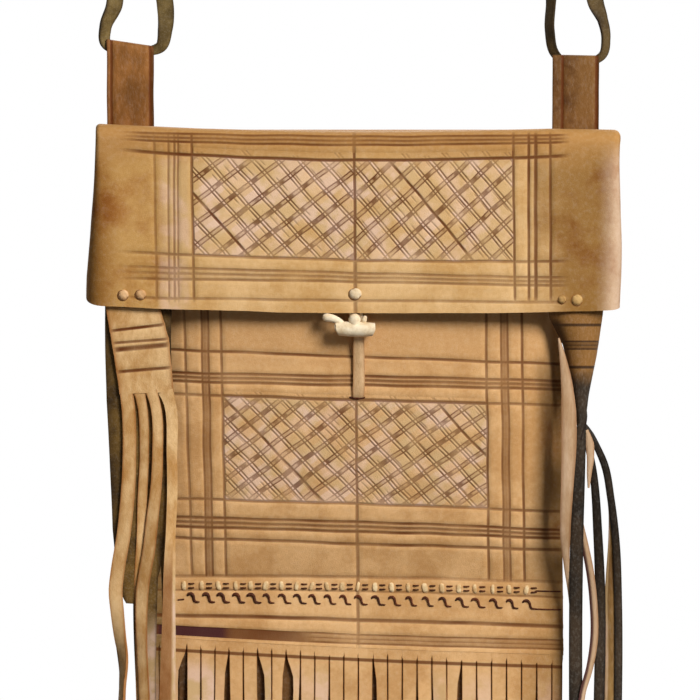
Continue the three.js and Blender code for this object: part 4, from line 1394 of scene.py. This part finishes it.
def knots(name, node, finish, places):
    """Domed knots on the flap's face, each creased where its end tucks in, over a dark ring set off to the
    lower left: partly the punched hole and partly painted shadow.
    """
    shape = bmesh.new()
    rings = []
    around = np.linspace(0, 2 * math.pi, 17)
    for px, py, width, height in places:
        x, z = x_at(px), z_at(py)
        y = float(flap_y(x, z))
        wide, tall = width * PIXEL / 2, height * PIXEL / 2
        made = bmesh.ops.create_uvsphere(shape, u_segments=24, v_segments=14, radius=1)
        for vert in made["verts"]:
            crease = math.exp(-((vert.co.x * 0.8 + vert.co.z * 0.6 - CREASE_AT) / CREASE_WIDE) ** 2)
            vert.co *= 1 - CREASE_DEEP * crease
        bmesh.ops.scale(shape, verts=made["verts"], vec=(wide, KNOT_RISE, tall))
        bmesh.ops.translate(shape, verts=made["verts"], vec=(x, y, z))
        ring_x = x + HOLE_SHADOW_PX[0] * PIXEL + wide * np.sin(around)
        ring_z = z + HOLE_SHADOW_PX[1] * PIXEL + tall * np.cos(around)
        ring = np.stack([ring_x, np.full_like(around, y + HOLE_SINK), ring_z], axis=1)
        rings.append(tube(ring, HOLE_RADIUS, count=48, around=8))
    settle(piece_from(shape, name, finish), "flap", node)
    settle(close_up(leather(name + "_holes", rings, 0, punched)), "flap", node)
    print(name, "has", len(places), "knots")


LEFT_KNOTS = ((123.5, 295.0, 10.5, 10.5), (141.0, 294.5, 10.5, 10.0))
RIGHT_KNOTS = ((562.0, 299.5, 8.0, 8.0), (577.0, 300.0, 11.0, 11.0))
LOOP_RADIUS = 1.2 * MM
knots("flap_knot", "loop_knot", thong, ((355.4, 293.8, 12.5, 11.0),))
knots("left_corner_knots", "left_corner_lace", knot_hide, LEFT_KNOTS)
knots("right_corner_knots", "right_corner_lace", worn_knot, RIGHT_KNOTS)
loop_route = spots([
    (353, 294, -33.2), (352, 303, -31.5), (351.4, 316, -30.6), (351.6, 328, -29.6), (356, 334, -29.0),
    (360.4, 328, -29.6), (360.8, 316, -30.6), (359.8, 303, -31.5), (358, 294, -33.2),
])
loop = tube(loop_route, LOOP_RADIUS, count=60, around=10)
loop_thong = close_up(leather("closing_loop_thong", [loop], 0, thong))
settle(loop_thong, "flap", "closing_loop")

# %% [markdown]
# ## The tassels
#
# A tassel is a band of hide, ruled across, whose lower part is cut into long strands. The left one hangs
# flat with a second layer dark behind it. The right one has dried curled: its band rolls up into a narrow
# waist, one pale strand has sprung out in front, and the rest fan out below.

# %% Left tassel
TASSEL_HIDE = 1.7 * MM
TASSEL_Y = -32.2 * MM
BEHIND_DEPTH = -29.6
BEHIND_HIDE = 1.3 * MM
BAND_DEEP = 0.4 * MM
BAND_GAP_PX = 4.0
BAND_COLUMNS = 17
BAND_PRESS_SIZE_PX = 16.0
BAND_BOW = 0.8 * MM
BAND_BOW_SIZE_PX = 40.0
BAND_LOOSE_PX = (300, 330)
STRAND_STEPS = 70
BAND_LINES = [
    ((331.0, 324.5), 1.3, 0.95),
    ((343.2, 339.0), 1.2, 0.85),
    ((350.0, 344.6), 2.1, 0.95),
    ((372.0, 367.5), 1.4, 0.95),
]
BAND_LEFT = ((298, 104.5), (314, 107), (350, 113), (385, 118.5), (398, 120))
BAND_RIGHT = ((298, 158), (311, 161), (340, 169), (395, 174), (398, 174.2))


def band(lines, first, last, left, right, depth):
    """A ruled band between two edges given as picture points, foot first."""
    rows, pressed = rule(lines[::-1], last, first, BAND_GAP_PX)
    share = np.linspace(0, 1, BAND_COLUMNS)
    py = rows[:, :1] + (rows[:, 1:] - rows[:, :1]) * share[None, :]
    left_px = np.interp(py, *np.array(left).T)
    right_px = np.interp(py, *np.array(right).T)
    px = left_px + (right_px - left_px) * share[None, :]
    inside = smooth(share, 0.02, 0.08) * smooth(share, 0.98, 0.92)
    tooling = pressed[:, None] * inside[None, :] * (1.0 + 0.25 * ripple(px, py, BAND_PRESS_SIZE_PX, 3.9))
    bow = BAND_BOW * ripple(px, py, BAND_BOW_SIZE_PX, 6.1)
    tooling = np.clip(tooling, 0, 1)
    y = depth + BAND_DEEP * tooling + bow * smooth(py, *BAND_LOOSE_PX)
    return sheet_of(x_at(px), y, z_at(py), tooling=tooling, edge=np.abs(2 * share - 1) ** 12)


LEFT_STRANDS = (
    (
        (126.2, 391, 0, 13, 0), (127.5, 400, 0, 13.5, 0), (129.5, 457, 0, 13.5, 0),
        (127.7, 496, 0, 14, 0), (123.8, 534, 0, 14, 5), (117.5, 572, 0, 14, 5), (115.6, 591, 0, 14, 0),
        (117, 610, 0, 13.5, 10), (119.8, 639, 0, 12.5, 30), (122.5, 658, 0, 12, 50),
        (121.3, 687, 0, 11, 65), (120, 720, 0, 11, 60), (121, 780, 0, 11, 30), (119, 848, 0, 10, 10),
    ),
    (
        (139.2, 391, 0.3, 12, 0), (141.3, 400, 0.5, 9.5, 0), (144.2, 457, 0.8, 9.2, 10),
        (142.5, 496, 1, 9.5, 0), (141.5, 540, 1.6, 10, -10), (139.5, 580, 2, 10.5, 0),
        (140.5, 620, 2, 11, 0), (141, 680, 2, 11, 10), (143, 760, 2, 10, 0), (141, 852, 2, 9, 0),
    ),
    (
        (151.4, 391, 0, 11.5, 0), (154.3, 400, 0, 10.5, 0), (157.6, 457, 0, 10.8, 0),
        (155.3, 496, -0.4, 11.5, 5), (152.8, 515, -0.6, 12, 10), (148.4, 553, -0.8, 12.5, 15),
        (144.8, 572, -0.8, 12.5, 20), (142.3, 591, -0.8, 12.5, 15), (141.5, 610, -0.8, 12, 10),
        (141.8, 649, -0.8, 10.5, 25), (143.8, 687, -0.6, 10.5, 20), (146, 740, 0, 10, 10),
        (148, 846, 0, 9, 0),
    ),
    (
        (165.9, 391, 0, 16, 0), (169, 400, 0, 12, 0), (172, 457, 0, 10.5, -10),
        (172.3, 496, 0, 10.5, -10), (170.8, 534, 0, 10.5, -25), (169.5, 572, 0, 12, -10),
        (169, 610, 0, 13, 0), (168.5, 650, 0, 14.5, 0), (167.5, 700, 0, 16, 0), (168, 770, 0, 14, 0),
        (167, 850, 0, 11, 0),
    ),
)
BEHIND = (
    (
        (138.5, 298, 0, 67, 0), (138, 340, 0, 66, 0), (139.5, 400, 0, 66, 0), (140, 470, 0, 60, 0),
        (139.5, 530, 0, 54, 0), (138, 570, 0, 44, 0), (136.5, 596, 0, 30, 0), (136, 604, 0, 20, 0),
    ),
    (
        (141, 560, 0, 14, 0), (140, 610, 0, 14, 10), (142, 690, 0, 13, 20), (145, 780, 0, 10, 0),
        (143, 838, 0, 8, 0),
    ),
    (
        (163, 470, 0, 14, 0), (166, 540, 0, 12, 0), (167, 600, 0, 10, 0), (168, 700, 0, 9, 0),
        (168, 780, 0, 9, 0), (169, 842, 0, 8, 0),
    ),
    (
        (153, 500, 0, 12, 0), (152, 560, 0, 13, 0), (150.5, 610, 0, 13, 0), (150, 660, 0, 12, 0),
        (151, 730, 0, 10, 0), (150, 834, 0, 8, 0),
    ),
    (
        (121, 470, 0, 4, 20), (120, 520, 0, 8, 20), (116, 580, 0, 8, 20), (118.6, 640, 0, 7, 20),
        (122, 672, 0, 6, 20), (120.6, 720, 0, 6, 20), (119, 836, 0, 6, 20),
    ),
)
STRAND_DEPTH = TASSEL_Y / MM + 0.2
DARKER_FROM_PX = 535
DARKER_FULL_PX = 590
PALE_FROM_PX = 606
PALE_FULL_PX = 640
PALE_BEHIND = 3
strips = [band(BAND_LINES, (303.0, 298.0), (394.0, 392.0), BAND_LEFT, BAND_RIGHT, TASSEL_Y)]
for rows in LEFT_STRANDS:
    strips.append(strand(rows, STRAND_DEPTH, count=STRAND_STEPS, across=7, cup=0.2 * MM))
# The last strand is darker towards its foot, with a pale right edge.
darkening = smooth(strips[-1]["place"][:, :, 2], z_at(DARKER_FROM_PX), z_at(DARKER_FULL_PX))
inside = np.arange(7) > 1
strips[-1]["edge"] = np.where(inside, 0.95 * darkening, 0)
strips[-1]["cell"] = np.where(inside, 0, 0.8 * darkening)
strips[-1]["burn"] = np.where(inside, 0.22 * darkening, 0)
left_tassel = leather("left_tassel_front", strips, TASSEL_HIDE, tassel_hide, flesh)
settle(left_tassel, "left_tassel", "left_tassel")
strips = [strand(rows, BEHIND_DEPTH, count=STRAND_STEPS, across=7, cup=0.3 * MM) for rows in BEHIND]
pale_down = strips[PALE_BEHIND]["place"][:, :, 2]
strips[PALE_BEHIND]["cell"] = 0.55 * smooth(pale_down, z_at(PALE_FROM_PX), z_at(PALE_FULL_PX))
left_behind = leather("left_tassel_behind", strips, BEHIND_HIDE, shaded_hide)
settle(left_behind, "left_tassel", "left_tassel")

# %% Right tassel
CURLED_FLAT = 32 * MM
CURLED_HIDE = 1.2 * MM
CURLED_LEFT = ((300, 548), (318, 549), (325, 553), (345, 563), (385, 572), (430, 576.5), (440, 577))
CURLED_RIGHT = ((300, 604), (314, 603), (357, 597), (395, 590), (430, 586), (440, 585.5))
CURLED_LINES = [((325.0, 324.6), 1.3, 0.9), ((345.2, 344.8), 3.3, 1.0, THREE), ((367.2, 366.6), 1.3, 0.95)]
CURLED_FOOT_PX = 440.0
CURLED_TOP_PX = 300.0
CURLED_COLUMNS = 41
CURLED_TIGHTER = 0.32
CURL_SHADE_SIDE = (-0.35, -0.75)
CURL_SHADE_FROM_PX = (312, 325)
rows, pressed = rule(CURLED_LINES[::-1], (CURLED_FOOT_PX,) * 2, (CURLED_TOP_PX,) * 2, BAND_GAP_PX)
py = rows[:, 0]
left_px = np.interp(py, *np.array(CURLED_LEFT).T)
right_px = np.interp(py, *np.array(CURLED_RIGHT).T)
seen = np.minimum((right_px - left_px) * PIXEL, CURLED_FLAT * 0.999)
arcs = np.linspace(0.05, math.pi, 200)
seen_at = CURLED_FLAT * np.sin(arcs / 2) / (arcs / 2)
part_rolled = np.interp(seen, seen_at[::-1], arcs[::-1])
sweep = np.where(seen > seen_at[-1], part_rolled, 2 * CURLED_FLAT / seen)
radius = CURLED_FLAT / sweep
share = np.linspace(-1, 1, CURLED_COLUMNS)
angle = share[None, :] * sweep[:, None] / 2
over = np.clip((sweep - math.pi) / (2 * math.pi), 0, 1.4)[:, None]
winding = radius[:, None] * (1 - CURLED_TIGHTER * over * (share[None, :] + 1) / 2)
middle = x_at((left_px + right_px) / 2)[:, None]
x = middle + winding * np.sin(angle)
y = TASSEL_Y + radius[:, None] - winding * np.cos(angle)
# Painted shade: the band's left side is darkened in the tooling tone where it rolls in.
curl_shade = smooth(share, *CURL_SHADE_SIDE)[None, :] * smooth(py, *CURL_SHADE_FROM_PX)[:, None]
ruled = np.maximum(pressed[:, None] * 0.95, 0.8 * curl_shade)
curled = sheet_of(x, y, z_at(py)[:, None], tooling=ruled)
right_band = leather("right_tassel_band", [curled], CURLED_HIDE, dark_hide, shaded_hide)
settle(right_band, "right_tassel", "right_tassel")

# %% Strands of the right tassel
DARK_STRANDS = (
    (
        (581, 424, -31, 8, 0), (581, 432, -31.4, 9.5, 0), (579.5, 470, -31, 11.5, 0),
        (578, 500, -29, 13, 0), (576.6, 560, -22, 13.5, 0), (576, 630, -16, 13.5, 0),
        (576, 700, -15, 13.5, 0), (576, 770, -15, 12, 0), (575, 850, -15, 10, 0),
    ),
    (
        (584, 428, -29.5, 5, 0), (592, 465, -29, 8, 20), (598, 540, -24, 10, 30),
        (600.5, 600, -17, 11, 20), (600.5, 650, -15, 11, 0), (599.5, 700, -15, 11, 10),
        (598, 780, -15, 10, 0), (598, 848, -15, 8, 0),
    ),
    (
        (584, 424, -30, 4, 0), (590, 433, -30, 6, 0), (597, 447, -30, 7, 10), (604, 463, -30, 8, 20),
        (611, 500, -28, 8, 25), (616, 540, -24, 8, 20), (618.5, 600, -18, 8, 10), (619, 650, -16, 8, 0),
        (618.5, 700, -16, 8, 0), (617, 770, -16, 8, 0), (618, 850, -16, 8, 0),
    ),
)
PALE_STRANDS = (
    (
        (558.5, 338, -32.6, 2, 0), (562, 354, -32.8, 6, 0), (566.3, 380, -33, 11, 0),
        (568.6, 410, -33, 15, 0), (569, 440, -33, 15.5, 0), (567, 490, -31.4, 12.5, 0),
        (565.4, 535, -27, 10.5, 0), (566.5, 560, -22, 6.5, 0), (571, 595, -17, 5, 5),
        (575, 640, -14, 6, 10), (576, 700, -14, 7, 0), (575, 840, -14, 6, 0),
    ),
    (
        (578, 490, -28, 5, 0), (580, 520, -25, 6, 0), (585, 545, -21.6, 7.5, 0), (590, 570, -19, 8, 10),
        (593.6, 600, -17, 8, 10), (594.4, 640, -16.4, 8, 0), (589.6, 670, -16.2, 7.5, -20),
        (583.4, 692, -16.2, 7, -30), (580, 740, -16.2, 7, -20), (582, 830, -16.2, 6, 0),
    ),
    (
        (586.5, 430, -30.6, 4, 0), (589.8, 444, -30.8, 8.5, 0), (590.4, 458, -30.8, 7.5, 0),
        (589.2, 474, -30.4, 5, 0), (588.6, 488, -29.6, 2, 0),
    ),
)
OLIVE_STRAND = (
    (606, 480, -28, 3, 0), (610.5, 510, -25, 4, 0), (611.5, 545, -21.4, 6.5, 0), (611, 570, -18.6, 9, 0),
    (610.6, 600, -16.6, 11.5, 0), (611.3, 640, -15, 12, 0), (610.8, 700, -15, 12, 0),
    (609.5, 780, -15, 9, 0), (608, 845, -15, 6, 0),
)
dark_strips = [strand(rows, count=STRAND_STEPS, across=5, cup=0.5 * MM) for rows in DARK_STRANDS]
pale_strips = [strand(rows, count=STRAND_STEPS, across=5, cup=0.5 * MM) for rows in PALE_STRANDS]
# The second pale strand is darker along its left half.
pale_strips[1]["burn"] = np.where(np.arange(5) > 2, 0.9, 0)
olive_strip = strand(OLIVE_STRAND, count=STRAND_STEPS, across=7, cup=0.5 * MM)
# Painted highlight: a pale band down the olive strand's left side.
olive_strip["cell"] = np.where(np.arange(7) > 4, 0.7, 0)
for name, strips, thick, finish in (
    ("right_tassel_strands", dark_strips, 1.4 * MM, dark_hide),
    ("right_tassel_pale", pale_strips, 1.3 * MM, pale_hide),
    ("right_tassel_olive", [olive_strip], 1.3 * MM, olive_hide),
):
    fan = leather(name, strips, thick, finish, shaded_hide)
    settle(fan, "right_tassel", "right_tassel")

# %% [markdown]
# ## Camera, light and floor
#
# The picture is taken square to the front from far off, with a soft lamp above and a little to the
# right, which leaves a dark band under the flap. A long lens far away keeps the sides parallel. The
# world lights the bag evenly and faintly, and shows as white to the camera and to reflections.

# %% Camera
scene = bpy.context.scene
scene.view_settings.view_transform = "Standard"
FRAME_PX = 700
CAMERA_FAR = 9.0
FOCUS_Y = -0.03
lens = bpy.data.cameras.new("camera")
lens.sensor_width = 36
lens.lens = lens.sensor_width * CAMERA_FAR / (FRAME_PX * PIXEL)
camera = bpy.data.objects.new("camera", lens)
camera.location = (x_at(FRAME_PX / 2), FOCUS_Y - CAMERA_FAR, z_at(FRAME_PX / 2))
camera.rotation_euler = (math.pi / 2, 0, 0)
scene.collection.objects.link(camera)
scene.camera = camera
print("Lens of", round(lens.lens), "mm")

# %% Lamps, world and floor
BAG_MIDDLE = Vector((0, -0.02, -0.25))
WORLD_LIGHT = 0.035
WHITE = (1, 1, 1, 1)


def lamp(name, place, power, size):
    data = bpy.data.lights.new(name, "AREA")
    data.energy = power
    data.size = size
    made = bpy.data.objects.new(name, data)
    made.location = place
    made.rotation_euler = (BAG_MIDDLE - Vector(place)).to_track_quat("-Z", "Y").to_euler()
    scene.collection.objects.link(made)


lamp("key lamp", (2.0, -2.7, 1.6), 185.0, 1.4)
lamp("fill lamp", (-1.6, -2.4, 1.9), 7.5, 2.0)
lamp("back lamp", (0.2, 1.6, 0.7), 20.0, 1.2)


def sees_white(tree):
    """1 for the rays that see a white surround: the camera's own, and those off gloss or through glass."""
    path = tree.nodes.new("ShaderNodeLightPath")
    direct = Wire(tree, path.outputs["Is Camera Ray"])
    for kind in ("Is Glossy Ray", "Is Transmission Ray"):
        direct = direct.math("MAXIMUM", direct, Wire(tree, path.outputs[kind]))
    return direct


world = bpy.data.worlds.new("studio")
world.use_nodes = True
scene.world = world
sky = world.node_tree
sky_light = sky.nodes["Background"]
sky_light.inputs["Color"].default_value = WHITE
sky_light.inputs["Strength"].default_value = WORLD_LIGHT
white = sky.nodes.new("ShaderNodeBackground")
white.inputs["Color"].default_value = WHITE
white.inputs["Strength"].default_value = 1.0
choose = sky.nodes.new("ShaderNodeMixShader")
plug(sky, choose.inputs[0], sees_white(sky))
sky.links.new(sky_light.outputs[0], choose.inputs[1])
sky.links.new(white.outputs[0], choose.inputs[2])
sky.links.new(choose.outputs[0], sky.nodes["World Output"].inputs["Surface"])

FLOOR_Z = -0.75
FLOOR_HALF = 3.0
FLOOR_GLOW = 0.85
FLOOR_GREY = (0.16, 0.16, 0.16, 1)
floor_shape = bmesh.new()
bmesh.ops.create_grid(floor_shape, x_segments=1, y_segments=1, size=FLOOR_HALF)
bmesh.ops.translate(floor_shape, verts=floor_shape.verts, vec=(0, 0, FLOOR_Z))
floor_paint = Finish("pale floor")
floor_paint.shader.inputs["Base Color"].default_value = FLOOR_GREY
floor_paint.shader.inputs["Roughness"].default_value = 0.9
pale = floor_paint.node("ShaderNodeEmission", None, {"Color": WHITE, "Strength": 1.0})
matt = Wire(floor_paint.tree, floor_paint.shader.outputs[0])
share = sees_white(floor_paint.tree) * FLOOR_GLOW
surface = floor_paint.node("ShaderNodeMixShader", None, {0: share, 1: matt, 2: pale})
plug(floor_paint.tree, floor_paint.tree.nodes["Material Output"].inputs["Surface"], surface)
floor = piece_from(floor_shape, "floor", floor_paint.material)
print("Floor", round(-FLOOR_Z, 2), "m under the hanging point")
